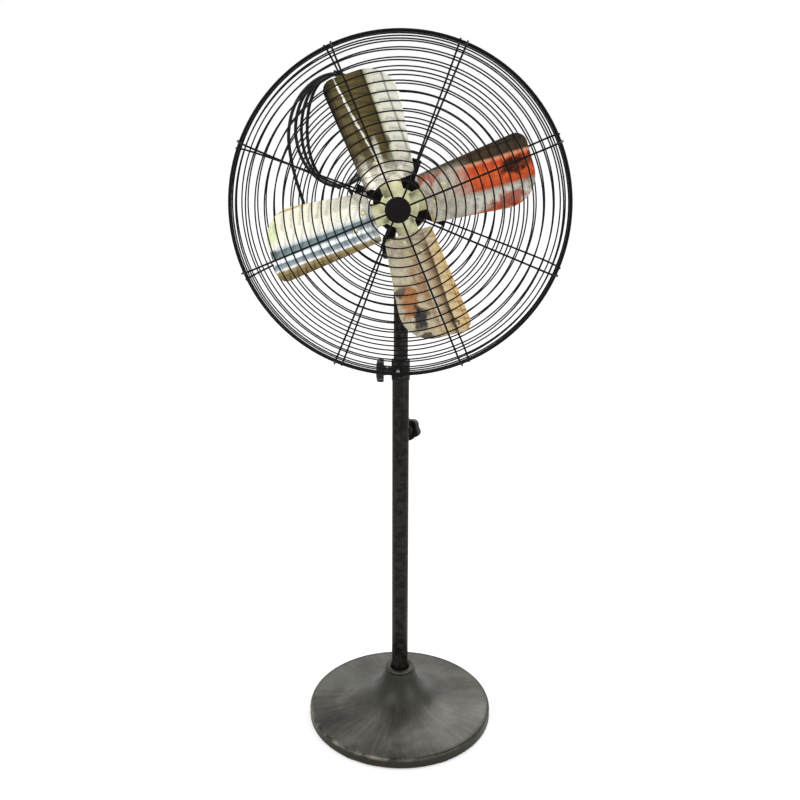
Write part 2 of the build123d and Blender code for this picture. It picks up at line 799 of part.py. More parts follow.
def make_rotor():
    shaft = rod(shaft_radius, bar_sides)
    rivets = blade_rivets()
    blade = make_blade() - rivets
    for k, copy in enumerate(around(blade, blade_count, blade_angle), start=1):
        export(f"fan_blade_{k}", copy)
    spread = [copy for rivet in rivets for copy in around(rivet, blade_count, blade_angle)]
    export("blade_rivets", *spread)
    spider_back = blade_centre + spider_sheet
    hub_back = spider_back + hub_length
    arm_face = outline(
        (arm_start, -arm_half_root),
        (blade_root, -arm_half),
        (arm_reach - arm_corner, -arm_half),
        (arm_reach, -arm_half + arm_corner),
        (arm_reach, arm_half - arm_corner),
        (arm_reach - arm_corner, arm_half),
        (blade_root, arm_half),
        (arm_start, arm_half_root),
    )
    arm = extrude(band * Pos(0, 0, -spider_sheet) * arm_face, spider_sheet) - rivets
    spider = drum(rod(spider_radius, bar_sides), blade_centre, spider_back)
    spider += around(arm, blade_count, blade_angle)
    spider += drum(rod(hub_radius, bar_sides), spider_back, hub_back)
    spider -= drum(shaft, blade_centre - spider_radius, hub_back + spider_radius)
    screw_at = Plane(
        origin=(0, spider_back + 0.6 * hub_length, head_height), x_dir=(0, 1, 0), z_dir=(0, 0, 1)
    )
    screw = rod(set_screw_radius, 6)
    set_screw = extrude(screw_at * Pos(0, 0, shaft_radius) * screw, hub_radius - shaft_radius)
    export("blade_spider", spider - extrude(screw_at * screw, 2 * hub_radius))
    export("hub_set_screw", set_screw)
    nut_front = blade_centre - shaft_nut_length
    nut = rod(shaft_nut_radius, 6) - shaft
    export("shaft_nut", drum(nut, nut_front, blade_centre))
    shaft_back = motor_back - shell_wall - shaft_end_gap
    export("fan_shaft", drum(shaft, nut_front - shaft_tip, shaft_back))


# Mains cord: from the gland to a coil hung on the rear guard, then down to the plug
def coil_point(turn):
    """A point of the coil. It starts on the right, going up, and nears the guard turn by turn."""
    a = 2 * math.pi * turn
    left = max(0.0, -math.cos(a))
    width = coil_half_width + coil_spread * (turn - coil_turns / 2) * left
    x = coil_x + width * math.cos(a)
    z = coil_z + coil_half_height * math.sin(a)
    guard = rear_surface(min(math.hypot(x, z), rear_dome_radius)) + spoke_wire
    y = guard + cord_radius + coil_lift + coil_pitch * (coil_turns - turn)
    return Vector(x, y, z + head_height)


def coil_direction(turn):
    step = 0.01
    return (coil_point(turn + step) - coil_point(turn - step)).normalized()


def biarc(start, start_way, end, end_way):
    """Two arcs that leave and arrive along the given directions."""
    chord = end - start
    a = 2 * (start_way.dot(end_way) - 1)
    b = -2 * chord.dot(start_way + end_way)
    c = chord.dot(chord)
    reach = (-b - math.sqrt(b * b - 4 * a * c)) / (2 * a)
    first = start + start_way * reach
    last = end - end_way * reach
    middle = (first + last) * 0.5
    return [
        TangentArc(start, middle, tangent=start_way),
        TangentArc(middle, end, tangent=last - first),
    ]


def cord_along(edges):
    path = Wire(edges)
    section = Plane(path @ 0, z_dir=path % 0) * rod(cord_radius, cord_sides)
    solid = sweep(section, path=path)
    ratio = solid.volume / section.area / path.length
    print("cord length", round(path.length, 1), "volume over section times length", round(ratio, 4))
    return solid


def cord_run(points):
    """A free stretch: straight runs joined by arcs as large as the runs allow."""
    radii = []
    for before, corner, after in zip(points, points[1:], points[2:]):
        half_turn = math.radians((corner - before).get_angle(after - corner)) / 2
        run = min((corner - before).length, (after - corner).length)
        radii.append(0.45 * run / math.tan(half_turn))
    print("cord radii", [round(r) for r in radii])
    return cord_along(FilletPolyline(*points, radius=radii).edges())


def least_gap():
    """The clear distance between neighbouring turns, measured on points."""
    steps = 200
    count = int(steps * coil_turns)
    samples = [coil_point(k / steps) for k in range(count + 1)]
    return min(
        (samples[i] - samples[j]).length - 2 * cord_radius
        for i in range(0, count, 4)
        for j in range(i + steps // 2, min(i + 2 * steps, count + 1))
    )


def make_cord():
    stub = 2 * cord_radius
    way_in = coil_direction(0)
    way_out = coil_direction(coil_turns)
    entry = coil_point(0) - way_in * stub
    leave = coil_point(coil_turns) + way_out * stub
    edges = [Line(entry, coil_point(0))]
    for k in range(round(4 * coil_turns)):
        ends = (k / 4, (k + 1) / 4)
        edges += biarc(
            coil_point(ends[0]), coil_direction(ends[0]), coil_point(ends[1]), coil_direction(ends[1])
        )
    edges.append(Line(coil_point(coil_turns), leave))
    export("cord_coil", cord_along(edges))
    print("least gap in the coil", round(least_gap(), 2))

    gland_end = Vector(*gland_place(gland_length))
    lead = [gland_end, *(gland_end + Vector(*way) for way in lead_ways)]
    lead += [entry - way_in * lead_reach, entry]
    export("cord_lead", cord_run(lead))
    head = Vector(0, 0, head_height)
    plug_top = head + Vector(*plug_place)
    tail = [leave, leave + way_out * tail_reach, *(head + Vector(*way) for way in tail_ways)]
    tail += [plug_top + Vector(0, 0, plug_drop), plug_top]
    export("cord_tail", cord_run(tail))
    plug_face = Plane(origin=plug_top, x_dir=(1, 0, 0), z_dir=(0, 0, -1))
    body = chamfer(Rectangle(plug_width, plug_depth).vertices(), plug_corner)
    plug = extrude(plug_face * body, plug_length)
    for place in GridLocations(plug_pin_spacing, 1, 2, 1):
        pin = plug_face * Pos(0, 0, plug_length) * place * rod(plug_pin_radius, small_sides)
        plug += extrude(pin, plug_pin_length)
    export("cord_plug", plug)


def make_cord_ties():
    """Two bands round the coil: the upper one also takes in a ring of the guard."""
    ties = []
    for turn in (0.25, 0.75):
        near = coil_point(turn + round(coil_turns) - 1)
        far = coil_point(turn)
        front = near.Y - cord_radius - tie_gap
        if turn < 0.5:
            front = near.Y - 3 * cord_radius - spoke_wire - wire
        back = far.Y + cord_radius + tie_gap
        height = 2 * (cord_radius + tie_gap)
        inside = Box(tie_width, back - front, height)
        outside = Box(tie_width, back - front + 2 * tie_band, height + 2 * tie_band)
        ties.append(Pos(coil_x, (front + back) / 2, far.Z) * (outside - inside))
    export("cord_ties", *ties)


os.makedirs("parts", exist_ok=True)
make_base()
make_pole()
lock_knob("height_lock", upper_knob_angle, upper_knob_height, sleeve_radius)
lock_knob("lower_lock", lower_knob_angle, lower_knob_height, outer_tube_radius)
make_tilt()
make_motor()
make_switch_box()
make_front_guard()
make_rear_guard()
make_guard_clip()
make_rotor()
make_cord()
make_cord_ties()
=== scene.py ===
import json
import math

import bmesh
import bpy
from mathutils import Matrix, Vector


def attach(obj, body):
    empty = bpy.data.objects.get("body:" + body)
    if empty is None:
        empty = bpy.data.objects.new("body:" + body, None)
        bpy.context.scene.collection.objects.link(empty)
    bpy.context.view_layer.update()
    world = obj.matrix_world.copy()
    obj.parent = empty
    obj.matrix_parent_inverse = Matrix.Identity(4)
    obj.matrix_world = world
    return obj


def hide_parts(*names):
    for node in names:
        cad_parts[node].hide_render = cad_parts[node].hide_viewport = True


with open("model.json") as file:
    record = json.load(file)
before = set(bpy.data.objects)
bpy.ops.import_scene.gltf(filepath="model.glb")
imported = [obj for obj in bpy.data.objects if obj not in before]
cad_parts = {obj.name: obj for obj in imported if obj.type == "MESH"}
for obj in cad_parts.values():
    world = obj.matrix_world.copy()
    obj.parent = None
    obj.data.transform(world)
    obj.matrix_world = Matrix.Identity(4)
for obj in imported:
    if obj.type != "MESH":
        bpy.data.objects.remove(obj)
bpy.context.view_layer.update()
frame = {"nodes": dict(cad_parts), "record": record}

turn = 2 * math.pi
headHeight = 1.22


def moved(x=0.0, y=0.0, z=0.0):
    return Matrix.Translation((x, y, z))


def turned(degrees, axis="Z"):
    return Matrix.Rotation(math.radians(degrees), 4, axis)


# head pieces are made lying down, face up, with z to the front, and then stood up on the pole
standUp = moved(z=headHeight) @ turned(90, "X")
print("frame loaded")


def shade(red, green, blue):
    # a colour picked as 0 to 255, as Blender wants it
    linear = []
    for level in (red, green, blue):
        level = level / 255
        linear.append(level / 12.92 if level < 0.04 else ((level + 0.055) / 1.055) ** 2.4)
    return (*linear, 1)


# camera at the photograph's viewing angle, a little above the head and to the right
camera = {"turn": 3.0, "pitch": 12.0, "distance": 1.9474, "height": 1.3494, "aside": -0.0309,
          "focus": 898.1, "row": 333.3, "column": 386.9, "frame": 800, "sensor": 36}


def addCamera():
    around = math.radians(camera["turn"])
    out = Vector((math.sin(around), -math.cos(around), 0))
    right = Vector((math.cos(around), math.sin(around), 0))
    place = out * camera["distance"] + right * camera["aside"]
    place.z = camera["height"]
    tilt = math.radians(90 - camera["pitch"])
    bpy.ops.object.camera_add(location=place, rotation=(tilt, 0, around))
    made = bpy.context.object
    made.name = "photoCamera"
    size = camera["frame"]
    made.data.sensor_width = camera["sensor"]
    made.data.lens = camera["focus"] * camera["sensor"] / size
    made.data.shift_x = (size / 2 - camera["column"]) / size
    made.data.shift_y = (camera["row"] - size / 2) / size
    made.data.clip_end = 60
    bpy.context.scene.camera = made


def clearAll():
    if bpy.context.mode != "OBJECT":
        bpy.ops.object.mode_set(mode="OBJECT")
    bpy.ops.object.select_all(action="DESELECT")


def takeOnly(*pieces):
    clearAll()
    for piece in pieces:
        piece.select_set(True)
    bpy.context.view_layer.objects.active = pieces[0]


def applyPlace(piece, place=None):
    takeOnly(piece)
    if place is not None:
        piece.matrix_world = place @ piece.matrix_world
    bpy.ops.object.transform_apply(location=True, rotation=True, scale=True)


def selectAll():
    bpy.ops.mesh.select_all(action="SELECT")


def openMesh(piece):
    takeOnly(piece)
    bpy.ops.object.mode_set(mode="EDIT")
    bpy.ops.mesh.select_all(action="DESELECT")


def closeMesh():
    selectAll()
    bpy.ops.mesh.remove_doubles(threshold=0.000004)
    bpy.ops.mesh.normals_make_consistent(inside=False)
    bpy.ops.object.mode_set(mode="OBJECT")


def pick(kind, test):
    # selects corners, edges or faces of the open mesh by their middle and direction
    bpy.ops.mesh.select_all(action="DESELECT")
    bpy.ops.mesh.select_mode(type=kind)
    mesh = bmesh.from_edit_mesh(bpy.context.object.data)
    if kind == "VERT":
        for corner in mesh.verts:
            corner.select_set(test(corner.co, corner.normal))
    elif kind == "EDGE":
        for edge in mesh.edges:
            start, end = edge.verts[0].co, edge.verts[1].co
            edge.select_set(test((start + end) / 2, (end - start).normalized()))
    else:
        for face in mesh.faces:
            face.select_set(test(face.calc_center_median(), face.normal))
    mesh.select_flush_mode()
    bmesh.update_edit_mesh(bpy.context.object.data)


def pickTop():
    pick("FACE", lambda middle, normal: normal.z > 0.9)


def pull(x=0.0, y=0.0, z=0.0):
    bpy.ops.mesh.extrude_region_move(TRANSFORM_OT_translate={"value": (x, y, z)})


def scalePicked(x, y=None):
    bpy.ops.transform.resize(value=(x, x if y is None else y, 1), center_override=(0, 0, 0))


def useModifier(piece, kind, **settings):
    takeOnly(piece)
    modifier = piece.modifiers.new(kind.lower(), kind)
    for key, value in settings.items():
        setattr(modifier, key, value)
    bpy.ops.object.modifier_apply(modifier=modifier.name)


def roundEdges(piece, width, segments=2, angle=30):
    useModifier(piece, "BEVEL", width=width, segments=segments, limit_method="ANGLE",
                angle_limit=math.radians(angle), use_clamp_overlap=True)


def addBlock(size, place):
    clearAll()
    bpy.ops.mesh.primitive_cube_add(size=1)
    block = bpy.context.object
    block.scale = size
    applyPlace(block, place)
    return block


def addHexagon(radius, length, place):
    clearAll()
    bpy.ops.mesh.primitive_cylinder_add(vertices=6, radius=radius, depth=length)
    hexagon = bpy.context.object
    applyPlace(hexagon, place)
    return hexagon


def drawLine(points):
    # one corner is pulled out along the outline, which is left open for editing
    clearAll()
    bpy.ops.mesh.primitive_plane_add(size=0.001, location=points[0])
    piece = bpy.context.object
    applyPlace(piece)
    bpy.ops.object.mode_set(mode="EDIT")
    bpy.ops.mesh.select_mode(type="VERT")
    selectAll()
    bpy.ops.mesh.merge(type="CENTER")
    for before, after in zip(points, points[1:]):
        step = tuple(Vector(after) - Vector(before))
        bpy.ops.mesh.extrude_vertices_move(TRANSFORM_OT_translate={"value": step})
    return piece


def turnOnLathe(profile, steps=96, closed=False):
    # a (radius, height) outline spun about the upright axis
    points = [(radius, 0, height) for radius, height in profile]
    if closed:
        points.append(points[0])
    piece = drawLine(points)
    selectAll()
    bpy.ops.mesh.spin(steps=steps, angle=turn, center=(0, 0, 0), axis=(0, 0, 1))
    closeMesh()
    return piece


def repeatRound(piece, count, first):
    # turns the piece to its first angle and copies it round the upright axis
    applyPlace(piece, turned(first))
    openMesh(piece)
    selectAll()
    bpy.ops.mesh.spin(steps=count - 1, dupli=True, angle=turn * (count - 1) / count,
                      center=(0, 0, 0), axis=(0, 0, 1))
    bpy.ops.object.mode_set(mode="OBJECT")


def copyPiece(piece, place):
    twin = piece.copy()
    twin.data = piece.data.copy()
    bpy.context.scene.collection.objects.link(twin)
    applyPlace(twin, place)
    return twin


def joinPieces(*pieces):
    takeOnly(*pieces)
    bpy.ops.object.join()
    return pieces[0]


def finishPiece(piece, name, body, slot, node=None, smooth=32, finish=None):
    takeOnly(piece)
    bpy.ops.object.shade_smooth_by_angle(angle=math.radians(smooth))
    piece.name = piece.data.name = name
    piece.data.materials.clear()
    piece.data.materials.append(finish or finishes[slot])
    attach(piece, body)
    if node:
        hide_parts(node)
    return piece


def standPiece(piece, *about, **more):
    applyPlace(piece, standUp)
    return finishPiece(piece, *about, **more)


def copyOfNode(node, roundness, segments=2):
    # a merged copy of a flat-sided CAD piece, with its edges softened
    source = frame["nodes"][node]
    piece = source.copy()
    piece.data = source.data.copy()
    piece.animation_data_clear()
    piece.parent = None
    for key in list(piece.keys()):
        del piece[key]
    bpy.context.scene.collection.objects.link(piece)
    piece.hide_render = piece.hide_viewport = False
    piece.matrix_world = source.matrix_world
    applyPlace(piece)
    openMesh(piece)
    selectAll()
    bpy.ops.mesh.remove_doubles(threshold=0.000005)
    bpy.ops.mesh.dissolve_limited(angle_limit=math.radians(1))
    bpy.ops.object.mode_set(mode="OBJECT")
    roundEdges(piece, roundness, segments)
    return piece


# nodes of the finishes
def feed(tree, node, values):
    # each input is linked to a socket or set to a plain value
    for key, value in values.items():
        if isinstance(value, bpy.types.NodeSocket):
            tree.links.new(value, node.inputs[key])
        else:
            node.inputs[key].default_value = value


def addNode(tree, kind, values=None, **settings):
    node = tree.nodes.new(kind)
    for key, value in settings.items():
        setattr(node, key, value)
    feed(tree, node, values or {})
    return node.outputs


def calculate(tree, operation, first, second=0.0, third=0.0):
    return addNode(tree, "ShaderNodeMath", {0: first, 1: second, 2: third}, operation=operation)[0]


def plus(tree, first, second):
    return calculate(tree, "ADD", first, second)


def minus(tree, first, second):
    return calculate(tree, "SUBTRACT", first, second)


def times(tree, first, second):
    return calculate(tree, "MULTIPLY", first, second)


def rescale(tree, value, low, high, start=0.0, end=1.0, curve="LINEAR"):
    # low to high becomes start to end, and what is past either stays there
    return addNode(tree, "ShaderNodeMapRange", {"Value": value, "From Min": low, "From Max": high,
                   "To Min": start, "To Max": end}, interpolation_type=curve)["Result"]


def noise(tree, place, scale, detail=2.0, rough=0.5, twist=0.0):
    return addNode(tree, "ShaderNodeTexNoise", {"Vector": place, "Scale": scale, "Detail": detail,
                   "Roughness": rough, "Distortion": twist})["Fac"]


def mixColour(tree, factor, first, second):
    first, second = (shade(*end) if isinstance(end, tuple) else end for end in (first, second))
    return addNode(tree, "ShaderNodeMix", {0: factor, 6: first, 7: second}, data_type="RGBA")[2]


def ramp(tree, factor, stops):
    made = tree.nodes.new("ShaderNodeValToRGB")
    feed(tree, made, {"Fac": factor})
    steps = made.color_ramp.elements
    steps.remove(steps[-1])
    steps[0].position, steps[0].color = stops[0][0], shade(*stops[0][1:])
    for place, *colour in stops[1:]:
        steps.new(place).color = shade(*colour)
    return made.outputs["Color"]


# shared effects, each a group that takes a place and amounts and puts out values
def newGroup(name, amounts, outputs):
    group = bpy.data.node_groups.new(name, "ShaderNodeTree")
    group.interface.new_socket(name="Vector", in_out="INPUT", socket_type="NodeSocketVector")
    for title, amount in amounts.items():
        socket = group.interface.new_socket(name=title, in_out="INPUT", socket_type="NodeSocketFloat")
        socket.default_value = amount
    for title in outputs:
        group.interface.new_socket(name=title, in_out="OUTPUT", socket_type="NodeSocketFloat")
    return group, group.nodes.new("NodeGroupInput").outputs, group.nodes.new("NodeGroupOutput")


def grainGroup():
    # fine pimples of paint or moulding, with a slow unevenness under them
    group, given, made = newGroup("surfaceGrain", {"Scale": 600.0, "Unevenness": 0.5},
                                  ["Height", "Tone"])
    fine = noise(group, given["Vector"], given["Scale"], 3.0, 0.6)
    slow = noise(group, given["Vector"], times(group, given["Scale"], 0.045), 4.0, 0.55)
    swell = times(group, slow, given["Unevenness"])
    feed(group, made, {"Height": plus(group, fine, swell), "Tone": slow})
    return group


def wearGroup():
    # worn edges, broken up so that they don't read as a drawn line
    group, given, made = newGroup("edgeWear", {"Amount": 0.5, "Scale": 60.0}, ["Mask"])
    edges = addNode(group, "ShaderNodeNewGeometry")["Pointiness"]
    patches = noise(group, given["Vector"], given["Scale"], 5.0, 0.7)
    both = times(group, rescale(group, edges, 0.51, 0.58), rescale(group, patches, 0.42, 0.62))
    feed(group, made, {"Mask": times(group, both, given["Amount"])})
    return group


def dustGroup():
    # dust that settles on what faces up, and rubbed marks everywhere
    group, given, made = newGroup("dustAndMarks", {"Dust": 0.2, "Marks": 0.2, "Scale": 14.0},
                                  ["Dust", "Marks"])
    normal = addNode(group, "ShaderNodeNewGeometry")["Normal"]
    facingUp = addNode(group, "ShaderNodeSeparateXYZ", {"Vector": normal})["Z"]
    clouds = noise(group, given["Vector"], given["Scale"], 6.0, 0.65)
    settled = times(group, rescale(group, facingUp, 0.1, 0.95), rescale(group, clouds, 0.35, 0.7))
    rubs = noise(group, given["Vector"], times(group, given["Scale"], 3.1), 8.0, 0.75, 1.2)
    scuffs = rescale(group, rubs, 0.56, 0.7)
    feed(group, made, {"Dust": times(group, settled, given["Dust"]),
                       "Marks": times(group, scuffs, given["Marks"])})
    return group


grainEffect, wearEffect, dustEffect = grainGroup(), wearGroup(), dustGroup()


def useEffect(tree, group, place, **amounts):
    values = {title.capitalize(): amount for title, amount in amounts.items()}
    return addNode(tree, "ShaderNodeGroup", {"Vector": place, **values}, node_tree=group)


def startFinish(name, metallic=0.0, ior=1.5):
    finish = bpy.data.materials.new(name)
    finish.use_nodes = True
    tree = finish.node_tree
    shader = tree.nodes["Principled BSDF"]
    feed(tree, shader, {"Metallic": metallic, "IOR": ior})
    return finish, tree, shader, addNode(tree, "ShaderNodeTexCoord")["Object"]


def endFinish(tree, shader, tone, rough, height, strength, depth):
    bump = addNode(tree, "ShaderNodeBump", {"Height": height, "Strength": strength, "Distance": depth})
    feed(tree, shader, {"Base Color": tone, "Roughness": rough, "Normal": bump["Normal"]})


def makeFinish(name, colour, second, rough, grain, bump, marks, dust, wear, metallic=0.0, ior=1.5,
               uneven=0.6, markScale=14.0, wearScale=70.0, spread=0.06, depth=0.0004,
               rubbed=(120, 112, 104), settled=(150, 142, 130), bare=(150, 146, 140)):
    # paint, plating, plastic and rubber: tone, grain, dust, marks and worn edges
    finish, tree, shader, place = startFinish(name, metallic, ior)
    skin = useEffect(tree, grainEffect, place, scale=grain, unevenness=uneven)
    edges = useEffect(tree, wearEffect, place, amount=wear, scale=wearScale)
    dirt = useEffect(tree, dustEffect, place, dust=dust, marks=marks, scale=markScale)
    tone = mixColour(tree, skin["Tone"], colour, second)
    tone = mixColour(tree, dirt["Marks"], tone, rubbed)
    tone = mixColour(tree, dirt["Dust"], tone, settled)
    tone = mixColour(tree, edges["Mask"], tone, bare)
    sheen = rescale(tree, skin["Tone"], 0.3, 0.7, rough - spread, rough + spread)
    dulled = plus(tree, sheen, times(tree, dirt["Dust"], 0.4))
    endFinish(tree, shader, tone, dulled, skin["Height"], bump, depth)
    return finish


# colours are red, green and blue from 0 to 255
looks = {
    "pole_paint": dict(colour=(26, 19, 15), second=(18, 14, 11), rough=0.25, ior=1.24, grain=900,
                       bump=0.03, marks=0.04, dust=0.0, wear=0.15, spread=0.015,
                       rubbed=(58, 46, 38), uneven=0.2),
    "black_paint": dict(colour=(15, 13, 12), second=(10, 9, 9), rough=0.3, ior=1.28, grain=900,
                        bump=0.08, marks=0.1, dust=0.06, wear=0.35),
    "guard_wire": dict(colour=(14, 9, 9), second=(8, 6, 6), rough=0.38, ior=1.24, grain=1400,
                       bump=0.05, marks=0.12, dust=0.0, wear=0.0, rubbed=(46, 36, 32),
                       markScale=22.0),
    "motor_paint": dict(colour=(24, 24, 26), second=(15, 15, 17), rough=0.36, ior=1.36, grain=420,
                        bump=0.3, marks=0.1, dust=0.15, wear=0.3),
    "spider_plating": dict(colour=(234, 232, 192), second=(214, 214, 158), rough=0.24, metallic=0.7,
                           grain=500, bump=0.06, marks=0.2, dust=0.0, wear=0.25,
                           rubbed=(226, 214, 186), bare=(235, 232, 214)),
    "zinc_steel": dict(colour=(176, 176, 174), second=(148, 148, 150), rough=0.34, metallic=0.9,
                       grain=900, bump=0.08, marks=0.3, dust=0.15, wear=0.5,
                       rubbed=(120, 112, 98), bare=(226, 226, 224)),
    "ground_steel": dict(colour=(188, 187, 184), second=(170, 169, 168), rough=0.28, metallic=1.0,
                         grain=1600, bump=0.05, marks=0.1, dust=0.0, wear=0.2),
    "copper": dict(colour=(170, 92, 52), second=(136, 66, 36), rough=0.3, metallic=0.8, grain=1200,
                   bump=0.3, marks=0.1, dust=0.05, wear=0.3),
    "knob_plastic": dict(colour=(20, 19, 20), second=(14, 13, 14), rough=0.4, ior=1.4, grain=1100,
                         bump=0.2, marks=0.15, dust=0.2, wear=0.35, markScale=30.0,
                         bare=(86, 84, 82)),
    "black_plastic": dict(colour=(34, 34, 36), second=(26, 26, 28), rough=0.5, grain=900, bump=0.25,
                          marks=0.1, dust=0.25, wear=0.3, bare=(84, 84, 86)),
    "white_plastic": dict(colour=(226, 224, 216), second=(214, 211, 200), rough=0.4, grain=900,
                          bump=0.1, marks=0.1, dust=0.1, wear=0.1),
    "nylon": dict(colour=(230, 226, 212), second=(214, 208, 190), rough=0.45, grain=700, bump=0.1,
                  marks=0.2, dust=0.1, wear=0.1, rubbed=(120, 114, 106)),
    "rubber": dict(colour=(38, 37, 36), second=(26, 26, 26), rough=0.75, grain=600, bump=0.25,
                   marks=0.3, dust=0.3, wear=0.2),
    "cord_jacket": dict(colour=(14, 13, 14), second=(9, 9, 10), rough=0.34, grain=1500, bump=0.08,
                        marks=0.2, dust=0.15, wear=0.0, markScale=26.0, rubbed=(70, 66, 62)),
}
finishes = {slot: makeFinish(slot, **look) for slot, look in looks.items()}


def castingFinish(colour, dark, pale, metallic, rough, rays, rayBreaks, clouds, sheenStreaks, wear, dust,
                  marks, rubbed, cone, shadedConeEnds, line, side, shadedSideEnds, bare, frontLeftEnds):
    # the base: dark paint with streaks in rays from the neck, their light and dark tone a painted
    # brushed sheen, and cloudy
    finish, tree, shader, place = startFinish("base_paint", metallic)
    apart = addNode(tree, "ShaderNodeSeparateXYZ", {"Vector": place})
    level = addNode(tree, "ShaderNodeCombineXYZ", {"X": apart["X"], "Y": apart["Y"]})["Vector"]
    reach = addNode(tree, "ShaderNodeVectorMath", {0: level}, operation="LENGTH")["Value"]
    around = calculate(tree, "ARCTAN2", apart["Y"], apart["X"])
    alongRays = addNode(tree, "ShaderNodeCombineXYZ", {
        "X": times(tree, calculate(tree, "COSINE", around), rays),
        "Y": times(tree, calculate(tree, "SINE", around), rays), "Z": times(tree, reach, rayBreaks)})
    brushMarksAndSheen = noise(tree, alongRays["Vector"], 1.0, 5.0, 0.6)
    broad = noise(tree, place, clouds, 4.0, 0.55, 0.8)
    skin = useEffect(tree, grainEffect, place, scale=500.0)
    edges = useEffect(tree, wearEffect, place, amount=wear, scale=26.0)
    dirt = useEffect(tree, dustEffect, place, dust=dust, marks=marks, scale=18.0)
    tone = ramp(tree, broad, [(0.34, *dark), (0.5, *colour), (0.66, *pale)])
    # painted sheen: pale and dark streaks along the rays, as brushed metal's sheen; the same streaks
    # also make small bumps
    sheenStreak = ramp(tree, brushMarksAndSheen, [(0.3, *dark), (0.5, *colour), (0.75, *pale)])
    tone = mixColour(tree, sheenStreaks, tone, sheenStreak)
    # painted shade: a dark line round the rounded shoulder of the rim
    shoulder = ramp(tree, times(tree, reach, 4.0), [
        (0.836, 0, 0, 0), (0.8435, 255, 255, 255), (0.856, 255, 255, 255), (0.8625, 0, 0, 0)])
    # the worn edges show most at the front and the left
    frontLeft = rescale(tree, plus(tree, apart["X"], apart["Y"]), *frontLeftEnds, 0.1, 0.9)
    # marks and dust, painted shade on the cone, a dark line of painted shade at the shoulder, painted
    # shade on the side of the rim, and worn edges
    for mask, over in ((dirt["Marks"], rubbed), (dirt["Dust"], rubbed),
                       (rescale(tree, reach, *shadedConeEnds, 0.8, 0.0, "SMOOTHSTEP"), cone),
                       (times(tree, shoulder, 0.8), line),
                       (rescale(tree, apart["Z"], *shadedSideEnds, 0.85, 0.0), side),
                       (times(tree, edges["Mask"], frontLeft), bare)):
        tone = mixColour(tree, mask, tone, over)
    sheen = rescale(tree, broad, 0.3, 0.7, rough - 0.06, rough + 0.12)
    height = plus(tree, times(tree, brushMarksAndSheen, 0.8), skin["Height"])
    endFinish(tree, shader, tone, sheen, height, 0.14, 0.0006)
    return finish


finishes["base_paint"] = castingFinish(
    colour=(72, 70, 62), dark=(34, 32, 32), pale=(108, 108, 102), metallic=0.55, rough=0.3,
    # the streaks' light and dark tone is a painted brushed sheen
    rays=20.0, rayBreaks=9.0, clouds=7.0, sheenStreaks=0.3, wear=1.0, dust=0.06, marks=0.2,
    # cone, line and side are painted shade: on the steep cone by the neck, along the rim's shoulder
    # and down the rim's side
    rubbed=(124, 120, 110), cone=(44, 44, 36), shadedConeEnds=(0.045, 0.115), line=(22, 20, 16),
    side=(52, 50, 38), shadedSideEnds=(0.019, 0.022), bare=(206, 196, 178), frontLeftEnds=(-0.13, -0.28))


def laminationFinish(colour, gap, metallic, rough, sheets):
    # thin steel sheets stacked along the motor's axis
    finish, tree, shader, place = startFinish("laminations", metallic)
    stacked = addNode(tree, "ShaderNodeTexWave", {"Vector": place, "Scale": sheets,
                      "Distortion": 0.4, "Detail": 2.0}, bands_direction="Y")["Fac"]
    endFinish(tree, shader, mixColour(tree, stacked, colour, gap), rough, stacked, 0.4, 0.0002)
    return finish


finishes["laminations"] = laminationFinish(
    colour=(132, 132, 136), gap=(58, 56, 56), metallic=0.85, rough=0.4, sheets=190.0)


